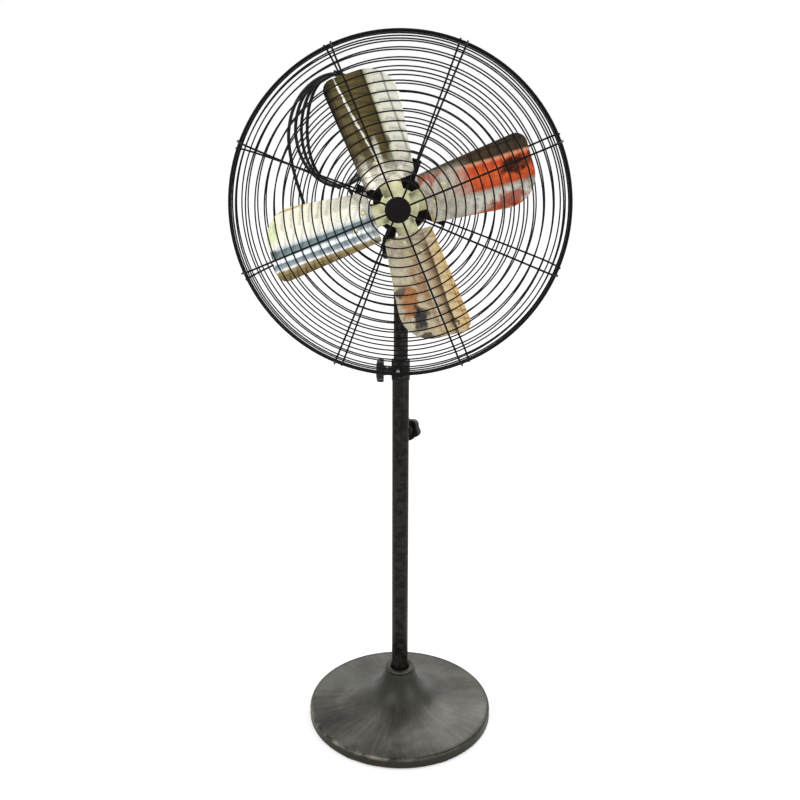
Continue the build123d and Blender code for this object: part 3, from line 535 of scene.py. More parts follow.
def bladeFinish(name, angle, rough, wander, slant, ripple, root, rootEnds, rootReflectionAmount, rootEdge,
                mottledReflectionAmount, mottledReflectionFrom, mottledReflection, patches, bands, metallic=0.8):
    # polished sheet with painted reflections: bands across the blade's folds, soft patches of painted
    # reflection over them, then mottling
    finish, tree, shader, place = startFinish(name, metallic)
    flat = addNode(tree, "ShaderNodeMapping", {"Vector": place, "Location": (0, -0.12, headHeight),
                   "Rotation": (turn / 4, -math.radians(angle), 0)},
                   vector_type="TEXTURE")["Vector"]
    apart = addNode(tree, "ShaderNodeSeparateXYZ", {"Vector": flat})
    across = rescale(tree, apart["Y"], -0.09, 0.066)
    along = rescale(tree, apart["X"], 0.054, 0.281)
    wobble = minus(tree, noise(tree, flat, 16.0, 4.0, 0.6), 0.5)
    fineWobble = minus(tree, noise(tree, flat, 42.0, 3.0, 0.55), 0.5)
    unsteady = calculate(tree, "MULTIPLY_ADD", wobble, 0.3, along)
    shifted = plus(tree, across, times(tree, minus(tree, 1.0, along), slant))
    # painted reflections: bands of colour across the blade
    tone = ramp(tree, plus(tree, shifted, times(tree, wobble, wander)), bands)
    # painted reflection: a pale tone near the root, weaker at the trailing edge
    rootReflection = rescale(tree, unsteady, rootEnds - 0.08, rootEnds + 0.08, rootReflectionAmount, 0.0)
    edge = rescale(tree, across, 0.8, 0.9, 1.0, rootEdge)
    tone = mixColour(tree, times(tree, rootReflection, edge), tone, root)
    # painted reflections: soft patches over the bands
    for centre, middle, length, width, lean, amount, colour in patches:
        x = minus(tree, unsteady, centre)
        y = minus(tree, calculate(tree, "MULTIPLY_ADD", fineWobble, ripple, across), middle)
        y = minus(tree, y, times(tree, x, lean))
        x, y = (calculate(tree, "POWER", calculate(tree, "DIVIDE", way, reach), 2.0)
                for way, reach in ((x, length), (y, width)))
        inside = rescale(tree, plus(tree, x, y), 0.5, 1.3, amount, 0.0)
        tone = mixColour(tree, inside, tone, colour)
    # painted reflection, broken into mottled patches away from the root
    stretched = addNode(tree, "ShaderNodeMapping", {"Vector": flat, "Scale": (20.0, 46.0, 20.0)})
    mottling = noise(tree, stretched["Vector"], 1.0, 5.0, 0.62, 1.4)
    mask = times(tree, rescale(tree, mottling, mottledReflectionFrom, mottledReflectionFrom + 0.1),
                 rescale(tree, along, 0.15, 0.45))
    tone = mixColour(tree, times(tree, mask, mottledReflectionAmount), tone, mottledReflection)
    skin = useEffect(tree, grainEffect, flat, scale=240.0, unevenness=1.5)
    sheen = rescale(tree, skin["Tone"], 0.3, 0.7, rough - 0.04, rough + 0.06)
    height = plus(tree, times(tree, noise(tree, flat, 30.0, 1.0), 5.0), skin["Height"])
    endFinish(tree, shader, tone, sheen, height, 0.14, 0.0005)
    return finish


# each blade's bands of painted reflection run from its leading edge to its trailing edge, and its root
# tone and mottle are painted reflections too; a patch of painted reflection is its place along and
# across, its length and width, how it leans, how strong it is and its colour
bladeReflectionLooks = {
    "fan_blade_1": dict(
        angle=20.0, rough=0.16, wander=0.05, slant=-0.1, ripple=0.3, root=(208, 204, 188),
        rootEnds=0.36, rootReflectionAmount=0.95, rootEdge=0.1, mottledReflectionAmount=0.45, mottledReflectionFrom=0.54,
        mottledReflection=(132, 74, 52), patches=[
            (0.1, 0.8, 0.14, 0.06, 0.0, 0.7, (196, 82, 50)),
            (0.70, 0.2, 0.2, 0.07, 0.1, 0.85, (186, 70, 40)),
            (0.84, 0.6, 0.13, 0.1, 0.15, 0.95, (46, 22, 14)),
            (1.0, 0.62, 0.04, 0.24, 0.0, 0.8, (44, 34, 26)),
            (0.97, 0.18, 0.05, 0.2, 0.0, 0.5, (116, 122, 112))],
        bands=[(0.0, 178, 178, 166), (0.05, 196, 194, 182), (0.075, 202, 96, 62),
               (0.1, 216, 120, 84), (0.13, 224, 220, 208), (0.3, 232, 228, 216),
               (0.35, 196, 188, 172), (0.39, 214, 88, 46), (0.55, 244, 112, 62),
               (0.68, 226, 86, 46), (0.73, 250, 170, 128), (0.76, 78, 58, 42),
               (0.84, 74, 64, 50), (0.97, 46, 40, 32)]),
    "fan_blade_2": dict(
        angle=110.0, rough=0.14, wander=0.03, slant=0.0, ripple=0.04, root=(228, 224, 206),
        rootEnds=0.2, rootReflectionAmount=0.9, rootEdge=0.2, mottledReflectionAmount=0.1, mottledReflectionFrom=0.58,
        mottledReflection=(60, 50, 30), patches=[
            (0.62, 0.73, 0.38, 0.016, 0.22, 0.95, (250, 248, 238)),
            (0.2, 0.62, 0.2, 0.05, -0.2, 0.8, (238, 234, 218)),
            (0.34, 0.44, 0.05, 0.05, 0.0, 0.7, (60, 52, 36)),
            (0.16, 0.12, 0.06, 0.04, 0.0, 0.6, (80, 74, 56))],
        bands=[(0.0, 226, 222, 200), (0.1, 240, 238, 222), (0.2, 244, 242, 230),
               (0.225, 150, 146, 118), (0.245, 240, 238, 226), (0.38, 232, 230, 210),
               (0.42, 190, 186, 160), (0.44, 38, 34, 22), (0.47, 80, 70, 40),
               (0.62, 104, 92, 56), (0.75, 84, 74, 44), (0.9, 68, 60, 36), (0.94, 30, 26, 18)]),
    "fan_blade_3": dict(
        angle=200.0, rough=0.16, wander=0.02, slant=0.0, ripple=0.1, root=(188, 192, 189),
        rootEnds=0.06, rootReflectionAmount=0.6, rootEdge=0.5, mottledReflectionAmount=0.12, mottledReflectionFrom=0.58,
        mottledReflection=(179, 176, 161), patches=[
            (0.97, 0.28, 0.08, 0.2, 0.3, 0.7, (188, 201, 146)),
            (0.5, 0.93, 0.5, 0.03, 0.0, 0.5, (79, 66, 36)),
            (0.97, 0.6, 0.03, 0.06, 0.0, 0.8, (52, 60, 64))],
        bands=[(0.0, 203, 203, 176), (0.08, 217, 217, 197), (0.11, 166, 142, 98),
               (0.13, 217, 213, 194), (0.4, 219, 215, 198), (0.52, 207, 207, 198),
               (0.56, 161, 170, 171), (0.575, 88, 103, 107), (0.66, 107, 121, 125),
               (0.69, 212, 219, 222), (0.72, 215, 221, 225), (0.74, 103, 115, 122),
               (0.79, 128, 137, 140), (0.82, 212, 215, 217), (0.84, 137, 122, 84),
               (0.93, 107, 91, 57), (0.99, 82, 70, 42)]),
    "fan_blade_4": dict(
        angle=290.0, rough=0.16, wander=0.05, slant=0.0, ripple=0.35, root=(216, 204, 178),
        rootEnds=0.14, rootReflectionAmount=0.5, rootEdge=0.7, mottledReflectionAmount=0.4, mottledReflectionFrom=0.56,
        mottledReflection=(168, 120, 78), patches=[
            (0.62, 0.3, 0.17, 0.13, 0.0, 0.85, (190, 114, 56)),
            (0.48, 0.5, 0.2, 0.06, 0.1, 0.6, (176, 118, 76)),
            (0.5, 0.2, 0.05, 0.06, 0.0, 0.8, (70, 72, 70)),
            (0.80, 0.34, 0.13, 0.12, 0.0, 0.95, (42, 52, 58)),
            (0.99, 0.26, 0.035, 0.3, 0.0, 0.85, (52, 50, 46)),
            (0.94, 0.6, 0.06, 0.14, 0.0, 0.6, (240, 216, 172)),
            (0.84, 0.76, 0.12, 0.02, 0.0, 0.8, (40, 34, 28))],
        bands=[(0.0, 176, 164, 138), (0.04, 216, 206, 178), (0.3, 230, 220, 192),
               (0.5, 220, 202, 170), (0.56, 186, 158, 122), (0.6, 230, 218, 192),
               (0.68, 200, 176, 140), (0.74, 140, 114, 84), (0.765, 92, 78, 60),
               (0.785, 248, 222, 176), (0.9, 244, 206, 146), (1.0, 238, 194, 132)]),
}
for blade, look in bladeReflectionLooks.items():
    finishes[blade] = bladeFinish(blade + "_finish", **look)
print("finishes made")

addCamera()

# the mains cord: the same route as the solid one, gland to coil to plug
cord = {"radius": 0.0035, "turns": 3.5, "perTurn": 12, "coilX": -0.132, "coilZ": 0.152,
        "halfWidth": 0.079, "halfHeight": 0.114, "spread": 0.011, "pitch": 0.0086,
        "lift": 0.0095, "fuller": 1.035, "guardFace": -0.037, "crown": 0.58643,
        "domeStart": 0.098, "domeEnd": 0.303, "gland": (-0.055, 0.107, 1.208),
        "lead": [(-0.040, 0.0, 0.0), (-0.072, -0.018, 0.042), (-0.052, -0.058, 0.068)],
        "wayIn": 0.069, "wayOut": 0.047,
        "tail": [(-0.224, -0.046, 1.287), (-0.212, -0.033, 1.241), (-0.204, -0.029, 1.214),
                 (-0.204, -0.029, 1.186)]}


def guardBack(radius):
    # where the back of the rear guard is, at a distance from the fan's axis
    span = min(radius, cord["domeEnd"]) - cord["domeStart"]
    return cord["guardFace"] - cord["crown"] + math.sqrt(cord["crown"] ** 2 - span ** 2)


def coilPoint(count, fuller=1.0):
    angle = turn * count
    left = max(0.0, -math.cos(angle))
    width = cord["halfWidth"] + cord["spread"] * (count - cord["turns"] / 2) * left
    x = width * math.cos(angle)
    z = cord["halfHeight"] * math.sin(angle)
    away = math.hypot(cord["coilX"] + x, cord["coilZ"] + z)
    y = guardBack(away) + cord["lift"] + cord["pitch"] * (cord["turns"] - count)
    return Vector((cord["coilX"] + x * fuller, y, cord["coilZ"] + z * fuller + headHeight))


def cordRoute():
    gland = Vector(cord["gland"])
    route = [gland] + [gland + Vector(way) for way in cord["lead"]]
    inWay, outWay = ((coilPoint(end + 0.01) - coilPoint(end - 0.01)).normalized()
                     for end in (0, cord["turns"]))
    route.append(coilPoint(0) - inWay * cord["wayIn"])
    for k in range(int(cord["turns"] * cord["perTurn"]) + 1):
        route.append(coilPoint(k / cord["perTurn"], cord["fuller"]))
    route.append(coilPoint(cord["turns"]) + outWay * cord["wayOut"])
    return route + [Vector(point) for point in cord["tail"]]


def addCord():
    curve = bpy.data.curves.new("mainsCord", "CURVE")
    curve.dimensions = "3D"
    line = curve.splines.new("NURBS")
    route = cordRoute()
    line.points.add(len(route) - 1)
    for point, place in zip(line.points, route):
        point.co = (*place, 1)
        point.radius = cord["radius"]  # the thickness is here, so that the curve's box stays small
    line.order_u = 3
    line.use_endpoint_u = True
    line.use_smooth = True
    curve.resolution_u = 8
    curve.bevel_depth = 1.0
    curve.bevel_resolution = 3
    curve.use_fill_caps = True
    curve.materials.append(finishes["cord_jacket"])
    piece = bpy.data.objects.new("mainsCord", curve)
    bpy.context.scene.collection.objects.link(piece)
    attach(piece, "head")
    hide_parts("cord_lead", "cord_coil", "cord_tail")
    return piece


mainsCord = addCord()

# plug, its body moulded on the cord and its two pins pointing down
plug = {"top": (-0.204, -0.029, 1.186), "width": 0.030, "depth": 0.017, "length": 0.034,
        "pin": 0.002, "pinLength": 0.019, "pinSpacing": 0.019}


def addPlug():
    bottom = -plug["length"]
    body = addBlock((plug["width"], plug["depth"], plug["length"]), moved(z=bottom / 2))
    openMesh(body)
    pickTop()
    scalePicked(0.62, 0.82)
    for rise, narrower in ((0.001, 0.52), (0.013, 0.85)):
        pull(z=rise)
        scalePicked(narrower)
    closeMesh()
    roundEdges(body, 0.0022, 4, 40)
    pin, tip = plug["pin"], bottom - plug["pinLength"]
    for side, name in ((-1, "plugPinLeft"), (1, "plugPinRight")):
        piece = turnOnLathe([(0, tip), (pin * 0.6, tip), (pin, tip + 0.0015),
                             (pin, bottom + 0.002), (0, bottom + 0.002)], 24)
        applyPlace(piece, moved(*plug["top"]) @ moved(side * plug["pinSpacing"] / 2))
        finishPiece(piece, name, "head", "zinc_steel")
    applyPlace(body, moved(*plug["top"]))
    return finishPiece(body, "plugBody", "head", "cord_jacket", "cord_plug")


plugBody = addPlug()

# gland nut on the switch box, and the ribbed sleeve that saves the cord from a sharp bend
relief = {"box": -0.037, "nut": 0.012, "nutLength": 0.007, "length": 0.036, "thick": 0.0082,
          "thin": 0.0046, "throat": 0.0041, "ribs": 5, "back": 0.011}


def addRelief():
    out = moved(relief["box"] - relief["nutLength"] / 2, *cord["gland"][1:])
    nut = addHexagon(relief["nut"], relief["nutLength"], out @ turned(90, "Y"))
    roundEdges(nut, 0.0009, 2)
    finishPiece(nut, "glandNut", "head", "black_plastic", "cord_gland")
    throat, collar = relief["throat"], relief["thick"] + 0.0008
    profile = [(0.0, -relief["back"]), (collar, -relief["back"]), (collar, 0.0)]
    span = relief["length"] / relief["ribs"]
    for k in range(relief["ribs"]):
        radius = relief["thick"] + (relief["thin"] - relief["thick"]) * k / (relief["ribs"] - 1)
        groove = max(radius - 0.0016, throat)
        profile += [(radius, k * span), (radius - 0.0004, (k + 0.62) * span),
                    (groove, (k + 0.66) * span), (groove, (k + 0.96) * span)]
    profile += [(throat, relief["length"]), (0.0, relief["length"])]
    sleeve = turnOnLathe(profile, 32)
    applyPlace(sleeve, turned(90, "Y"))
    # the sleeve's z runs along x, where the curve modifier takes it round the cord
    useModifier(sleeve, "CURVE", object=mainsCord, deform_axis="POS_X")
    return finishPiece(sleeve, "cordRelief", "head", "black_plastic")


cordRelief = addRelief()
print("cord laid")

# base casting: iron with a raised bead round the neck, hollow underneath
base = {"radius": 0.216, "foot": 0.003, "rim": 0.026, "rimRound": 0.006, "neck": 0.034,
        "neckTop": 0.122, "seat": 0.040, "bore": 0.0191, "inside": 0.192, "boltHole": 0.006,
        "floor": 0.009}


def addBase():
    radius, foot, rim, bore = base["radius"], base["foot"], base["rim"], base["bore"]
    shoulder = rim - base["rimRound"]
    side = [(radius - 0.001, foot), (radius, foot + 0.001), (radius, foot + 0.003),
            (radius, 0.012), (radius, shoulder - 0.002), (radius, shoulder),
            (radius - 0.0012, rim - 0.0026), (radius - 0.0034, rim - 0.0008),
            (radius - base["rimRound"], rim)]
    cone = [(0.2065, rim - 0.0007), (0.2045, rim - 0.0004), (0.198, rim + 0.0007),
            (0.165, 0.0301), (0.138, 0.0329), (0.115, 0.0362), (0.098, 0.0401), (0.084, 0.0449),
            (0.072, 0.0512), (0.062, 0.0588), (0.054, 0.0672), (0.0475, 0.0775),
            (0.0425, 0.0885), (0.0385, 0.1005), (0.0358, 0.1105), (0.0348, 0.1128)]
    bead = [(0.0354, 0.1140), (0.0360, 0.1160), (0.0359, 0.1180), (0.0350, 0.1197),
            (0.0334, 0.1210), (0.0312, 0.1218), (0.0285, base["neckTop"]), (0.0258, 0.1217),
            (0.0236, 0.1208), (0.0220, 0.1192), (bore + 0.0012, 0.1176), (bore, 0.1168)]
    under = [(bore, base["seat"]), (base["boltHole"], base["seat"]),
             (base["boltHole"], base["floor"]), (base["neck"], base["floor"]),
             (base["neck"], 0.056), (0.050, 0.058), (0.074, 0.040), (0.109, 0.030),
             (0.186, 0.020), (base["inside"], 0.012), (base["inside"], foot)]
    piece = turnOnLathe(side + cone + bead + under, 128, closed=True)
    finishPiece(piece, "baseCasting", "stand", "base_paint", "base_casting", 40)


addBase()
finishPiece(copyOfNode("rubber_feet", 0.0008), "footPads", "stand", "rubber", "rubber_feet")
print("base made")

# pole: fixed tube, sleeve with a rounded shoulder, tube that slides in it and its head fitting
pole = {"outer": 0.019, "bore": 0.0173, "bottom": 0.040, "top": 0.868, "sleeve": 0.0208,
        "sleeveFoot": 0.830, "sleeveTop": 0.877, "groove": 0.8325, "grooveRadius": 0.0202,
        "inner": 0.016, "innerBore": 0.0143, "innerFoot": 0.500, "innerTop": 1.100,
        "slide": 0.01606}


def addTube(radius, bore, bottom, top):
    return turnOnLathe([(radius, bottom), (radius, top), (bore, top), (bore, bottom)], 64, True)


def addPole():
    outer, sleeve, slide, top = pole["outer"], pole["sleeve"], pole["slide"], pole["sleeveTop"]
    foot, groove = pole["sleeveFoot"], pole["groove"]
    tube = addTube(outer, pole["bore"], pole["bottom"], pole["top"])
    roundEdges(tube, 0.0004, 2)
    finishPiece(tube, "poleOuterTube", "stand", "pole_paint", "pole_outer_tube")
    cap = turnOnLathe([
        (outer, foot), (0.0203, foot), (sleeve, foot + 0.0006), (sleeve, groove),
        (pole["grooveRadius"], groove + 0.0007), (pole["grooveRadius"], groove + 0.0021),
        (sleeve, groove + 0.0028), (sleeve, top - 0.0035), (0.0204, top - 0.0018),
        (0.0194, top - 0.0005), (0.0180, top), (slide + 0.0004, top), (slide, top - 0.0005),
        (slide, pole["top"]), (outer, pole["top"])], 64, True)
    finishPiece(cap, "poleSleeve", "stand", "black_paint", "pole_sleeve")
    tube = addTube(pole["inner"], pole["innerBore"], pole["innerFoot"], pole["innerTop"])
    finishPiece(tube, "poleInnerTube", "inner_pole", "pole_paint", "pole_inner_tube")


addPole()

# tilt fitting: a socket over the inner tube with a tongue between the bracket's ears
fitting = {"socket": 0.019, "foot": 1.060, "top": 1.104, "roof": 0.004, "hole": 0.016,
           "tongue": 0.017, "half": 0.013, "pivot": 1.128, "bolt": 0.00505, "neck": 0.0125}


def addHeadFitting():
    radius, foot, top, hole = fitting["socket"], fitting["foot"], fitting["top"], fitting["hole"]
    tongue, half, pivot = fitting["tongue"], fitting["half"], fitting["pivot"]
    roof = top - fitting["roof"]
    socket = turnOnLathe([
        (hole, foot), (radius - 0.0006, foot), (radius, foot + 0.0008), (radius, top - 0.003),
        (radius - 0.001, top - 0.001), (radius - 0.003, top), (0.0, top), (0.0, roof),
        (hole, roof)], 64, True)
    # the tongue is turned as an eye, and its lower half is drawn down into the socket
    eye = turnOnLathe([
        (fitting["bolt"], -half), (tongue - 0.0012, -half), (tongue, 0.0012 - half),
        (tongue, half - 0.0012), (tongue - 0.0012, half), (fitting["bolt"], half)], 64, True)
    applyPlace(eye, moved(z=pivot) @ turned(90, "Y"))
    openMesh(eye)
    pick("VERT", lambda place, normal: place.z < pivot - 0.0001
         and math.hypot(place.y, place.z - pivot) > 0.012)
    mesh = bmesh.from_edit_mesh(eye.data)
    for corner in mesh.verts:
        if corner.select:
            wide = min(abs(corner.co.y), fitting["neck"])
            corner.co.y = math.copysign(wide, corner.co.y)
            if wide < fitting["neck"] or corner.co.z <= pivot - 0.0115:
                corner.co.z = min(corner.co.z, top - 0.001)
    bmesh.update_edit_mesh(eye.data)
    closeMesh()
    joinPieces(socket, eye)
    finishPiece(socket, "poleHeadFitting", "inner_pole", "black_paint", "pole_head_fitting", 40)


addHeadFitting()

# lock knobs: five lobes moulded over a hub, and the nuts they turn in
knob = {"radius": 0.0282, "valley": 0.76, "flank": 0.93, "hub": 0.011, "hubLength": 0.006,
        "stud": 0.0041, "lobe": 72,
        "steps": ((0.0015, 1.11), (0.0025, 1.0), (0.0085, 1.0), (0.0025, 0.97), (0.0018, 0.86),
                  (0.0002, 0.55), (-0.0012, 0.8))}


def addKnobHead():
    clearAll()
    bpy.ops.mesh.primitive_circle_add(vertices=20, radius=knob["radius"], fill_type="NGON",
                                      location=(0, 0, knob["hubLength"]))
    head = bpy.context.object
    applyPlace(head)
    openMesh(head)

    def lobeAngle(place):
        return math.degrees(math.atan2(place.y, place.x)) % knob["lobe"]
    # the lobed outline is pulled up in steps: skirt, side, rounded shoulder, dished top
    pick("VERT", lambda place, normal: 30 < lobeAngle(place) < 42)
    scalePicked(knob["valley"])
    pick("VERT", lambda place, normal: 12 < lobeAngle(place) < 24 or 48 < lobeAngle(place) < 60)
    scalePicked(knob["flank"])
    bpy.ops.mesh.select_mode(type="FACE")
    selectAll()
    scalePicked(0.9)
    for rise, grow in knob["steps"]:
        pull(z=rise)
        scalePicked(grow)
    closeMesh()
    useModifier(head, "SUBSURF", levels=2, render_levels=2)
    stud, radius, top = knob["stud"], knob["hub"], knob["hubLength"] + 0.002
    hub = turnOnLathe([(stud, 0.0), (radius - 0.0008, 0.0), (radius, 0.0008), (radius, top),
                       (stud, top)], 40, True)
    return joinPieces(head, hub)


def addNut(radius, length):
    nut = addHexagon(radius, length, moved(z=length / 2))
    openMesh(nut)
    # the top is turned down at its corners, as a nut's is
    pickTop()
    bpy.ops.mesh.inset(thickness=radius * 0.09)
    bpy.ops.transform.translate(value=(0, 0, radius * 0.05))
    bpy.ops.object.mode_set(mode="OBJECT")
    roundEdges(nut, 0.0007, 2, 25)
    return nut


def outFromPole(angle, height, distance):
    # the upright axis turned level, pointing away from the pole
    return moved(z=height) @ turned(angle) @ moved(distance) @ turned(90, "Y")


# each lock's angle and height, and how far from the pole's axis its knob and its nut start
locks = {"height_lock": ("heightLock", 180, 0.850, 0.0313, 0.0205, "black_paint"),
         "lower_lock": ("lowerLock", 62, 0.702, 0.0295, 0.0187, "pole_paint"),
         "tilt_lock": ("tiltLock", 180, 1.128, 0.01735, None, None)}
lockNut = {"radius": 0.0095, "length": 0.0088}


def addLocks():
    pattern = addKnobHead()
    for body, (name, angle, height, knobStart, *nutAt) in locks.items():
        head = copyPiece(pattern, outFromPole(angle, height, knobStart))
        finishPiece(head, name + "Knob", body, "knob_plastic", body + "_knob", 45)
    bpy.data.objects.remove(pattern)
    for body, (name, angle, height, knobStart, nutStart, slot) in locks.items():
        if nutStart:
            nut = addNut(lockNut["radius"], lockNut["length"])
            applyPlace(nut, outFromPole(angle, height, nutStart))
            finishPiece(nut, name + "Nut", "stand", slot, body + "_nut")


addLocks()
print("pole and knobs made")

# guards: rings of wire welded inside bent spokes, all lying face up until they are stood up
guard = {"wire": 0.0015, "spoke": 0.002, "spokes": 8, "rim": 0.003, "weld": 0.0012,
         "frontFace": 0.1748, "firstRing": 0.0575, "ringStep": 0.0188, "rings": 14,
         "shoulder": 0.034, "corner": 0.3097, "cornerHeight": 0.142, "frontStart": 0.018,
         "frontSpokes": 22.5, "rimRadius": 0.341, "frontRim": 0.143, "rearRim": 0.137,
         "rearFirst": 0.098, "rearStep": 0.0166, "rearRings": 13, "domeHeight": 0.62343,
         "crown": 0.58643, "edge": 20.46, "rearShoulder": 0.0618, "rearCorner": 0.2814,
         "rearCornerHeight": 0.1319, "rearStart": 0.0027, "rearSpokes": 25.0}


def weldRings(places, wire, steps=128, sides=8):
    # the wires' ends are drawn side by side and spun about the upright axis
    clearAll()
    for k, (radius, height) in enumerate(places):
        bpy.ops.mesh.primitive_circle_add(vertices=sides, radius=wire, rotation=(turn / 4, 0, 0),
                                          location=(radius, 0, height))
        if k == 0:
            rings = bpy.context.object
            applyPlace(rings)
            openMesh(rings)
    selectAll()
    bpy.ops.mesh.spin(steps=steps, angle=turn, center=(0, 0, 0), axis=(0, 0, 1))
    closeMesh()
    return rings


def bendSpoke(start, bends, run, tip):
    # a round end pulled along a straight run and spun round each bend
    clearAll()
    bpy.ops.mesh.primitive_circle_add(vertices=10, radius=guard["spoke"], fill_type="NGON",
                                      location=start, rotation=(0, turn / 4, 0))
    piece = bpy.context.object
    applyPlace(piece)
    openMesh(piece)
    bpy.ops.mesh.select_mode(type="FACE")
    selectAll()
    for before, degrees, steps, radius, height in bends:
        if before:
            pull(before)
        bpy.ops.mesh.spin(steps=steps, angle=math.radians(degrees), center=(radius, 0, height),
                          axis=(0, 1, 0))
    pull(z=run)
    pull(z=tip)
    bpy.ops.transform.resize(value=(0.6, 0.6, 0.6))
    closeMesh()
    return piece


def standWires(piece, name, node):
    standPiece(piece, name, "head", "guard_wire", node, 60)


def addFrontGuard():
    places = [(guard["firstRing"] + guard["ringStep"] * k, guard["frontFace"])
              for k in range(guard["rings"])]
    reach = guard["shoulder"] - guard["weld"]
    for degrees in (22.5, 45):
        angle = math.radians(degrees)
        places.append((guard["corner"] + reach * math.sin(angle),
                       guard["cornerHeight"] + reach * math.cos(angle)))
    standWires(weldRings(places, guard["wire"]), "frontGuardRings", "front_guard_rings")
    rim = weldRings([(guard["rimRadius"], guard["frontRim"])], guard["rim"], 160, 14)
    standWires(rim, "frontGuardRim", "front_guard_rim")
    start = guard["frontStart"]
    wire = bendSpoke((start, 0, 0.178), [
        (guard["corner"] - start, -90, 10, guard["corner"], guard["cornerHeight"])],
        -0.0150, -0.001)
    repeatRound(wire, guard["spokes"], guard["frontSpokes"])
    standWires(wire, "frontGuardSpokes", "front_guard_spokes")
    disc = turnOnLathe([(0.0, 0.1797), (0.0245, 0.1797), (0.0258, 0.1804), (0.0258, 0.1811),
                        (0.0250, 0.1820), (0.0236, 0.1826), (0.0190, 0.1829), (0.0182, 0.1826),
                        (0.0160, 0.1826), (0.0152, 0.1829), (0.0080, 0.1832), (0.0, 0.1832)], 72)
    standPiece(disc, "frontGuardDisc", "head", "guard_wire", "front_guard_disc")


def addRearGuard():
    first, crown, domeHeight = guard["rearFirst"], guard["crown"], guard["domeHeight"]
    corner, cornerHeight, edge = guard["rearCorner"], guard["rearCornerHeight"], guard["edge"]
    radii = [first + guard["rearStep"] * k for k in range(guard["rearRings"])]
    places = [(radius, domeHeight - math.sqrt(crown ** 2 - (radius - first) ** 2) + guard["weld"])
              for radius in radii]
    standWires(weldRings(places, guard["wire"]), "rearGuardRings", "rear_guard_rings")
    places = []
    reach = guard["rearShoulder"] - guard["weld"]
    for k in range(1, 5):
        angle = math.radians(edge + (90 - edge) * k / 5)
        places.append((corner + reach * math.sin(angle), cornerHeight - reach * math.cos(angle)))
    standWires(weldRings(places, guard["wire"]), "rearGuardSideRings", "rear_guard_side_rings")
    rim = weldRings([(guard["rimRadius"] - 0.0005, guard["rearRim"])], guard["rim"], 160, 14)
    standWires(rim, "rearGuardRim", "rear_guard_rim")
    start = math.asin(guard["rearStart"] / crown)
    reach = crown + guard["spoke"]
    wire = bendSpoke((first + reach * math.sin(start), 0, domeHeight - reach * math.cos(start)), [
        (0, edge - math.degrees(start), 8, first, domeHeight),
        (0, 90 - edge, 8, corner, cornerHeight)], 0.0061, 0.001)
    repeatRound(wire, guard["spokes"], guard["rearSpokes"])
    standWires(wire, "rearGuardSpokes", "rear_guard_spokes")


addFrontGuard()
addRearGuard()
finishPiece(copyOfNode("rear_guard_plate", 0.0006), "rearGuardPlate", "head", "guard_wire",
            "rear_guard_plate", 40)
finishPiece(copyOfNode("guard_clip", 0.0006), "guardClip", "head", "guard_wire", "guard_clip")
print("guards made")

# rotor: blades cut from sheet, folded on two creases, riveted to a sheet spider
bladeCut = {"root": 0.054, "tip": 0.281, "rootLead": -0.052, "rootTrail": 0.050,
            "tipLead": -0.088, "tipTrail": 0.064, "leadRound": 0.077, "trailRound": 0.0255,
            "creases": (-0.034, 0.032), "pitches": (12, 20, 28), "soft": 0.003,
            "sheet": 0.002, "centre": 0.120,
            "lines": (-0.070, -0.052, -0.016, 0.0, 0.016, 0.048),
            "stations": (0.08, 0.11, 0.14, 0.17, 0.20, 0.23, 0.26)}


def foldHeight(across):
    # the sheet's back along the chord, the creases opened into small radii
    low, high = bladeCut["creases"]
    slopes = [math.tan(math.radians(pitch)) for pitch in bladeCut["pitches"]]
    soft = bladeCut["soft"]
    height = slopes[1] * across
    for crease, change, side in ((low, slopes[1] - slopes[0], -1), (high, slopes[2] - slopes[1], 1)):
        past = (across - crease) * side
        bent = 0.0 if past < -soft else (past + soft) ** 2 / (4 * soft) if past < soft else past
        height += change * bent
    return height


def addBlades():
    cut = bladeCut
    lead, trail = (cut["tip"], cut["tipLead"], 0), (cut["tip"], cut["tipTrail"], 0)
    blade = drawLine([(cut["root"], cut["rootLead"], 0), lead, trail,
                      (cut["root"], cut["rootTrail"], 0)])
    selectAll()
    bpy.ops.mesh.edge_face_add()
    for corner, offset in ((lead, cut["leadRound"]), (trail, cut["trailRound"])):
        pick("VERT", lambda place, normal: (place - Vector(corner)).length < 0.001)
        bpy.ops.mesh.bevel(offset=offset, segments=16, affect="VERTICES")
    lines = [crease + aside for crease in cut["creases"]
             for aside in (-0.0031, -0.0015, 0, 0.0015, 0.0031)]
    cuts = [((0, line, 0), (0, 1, 0)) for line in (*lines, *cut["lines"])]
    cuts += [((line, 0, 0), (1, 0, 0)) for line in cut["stations"]]
    for place, facing in cuts:
        selectAll()
        bpy.ops.mesh.bisect(plane_co=place, plane_no=facing)
    mesh = bmesh.from_edit_mesh(blade.data)
    for corner in mesh.verts:
        corner.co.z = cut["centre"] + foldHeight(corner.co.y)
    bmesh.update_edit_mesh(blade.data)
    closeMesh()
    if sum(face.normal.z for face in blade.data.polygons) < 0:
        openMesh(blade)
        selectAll()
        bpy.ops.mesh.flip_normals()
        bpy.ops.object.mode_set(mode="OBJECT")
    useModifier(blade, "SOLIDIFY", thickness=cut["sheet"] * 0.95, offset=1)
    roundEdges(blade, 0.0004, 2, 50)
    for name, look in bladeReflectionLooks.items():
        twin = copyPiece(blade, turned(look["angle"]))
        standPiece(twin, "blade" + name[-1], "rotor", "blade_aluminium", name, 30, finishes[name])
    bpy.data.objects.remove(blade)


spider = {"radius": 0.040, "sheet": 0.003, "armStart": 0.028, "reach": 0.112, "half": 0.027,
          "corner": 0.012, "hub": 0.017, "hubEnd": 0.083, "bore": 0.008, "pitch": 20, "arms": 4,
          "firstArm": 20.0}


def tiltToBand(height=0.0):
    return moved(z=bladeCut["centre"]) @ turned(spider["pitch"], "X") @ moved(z=height)


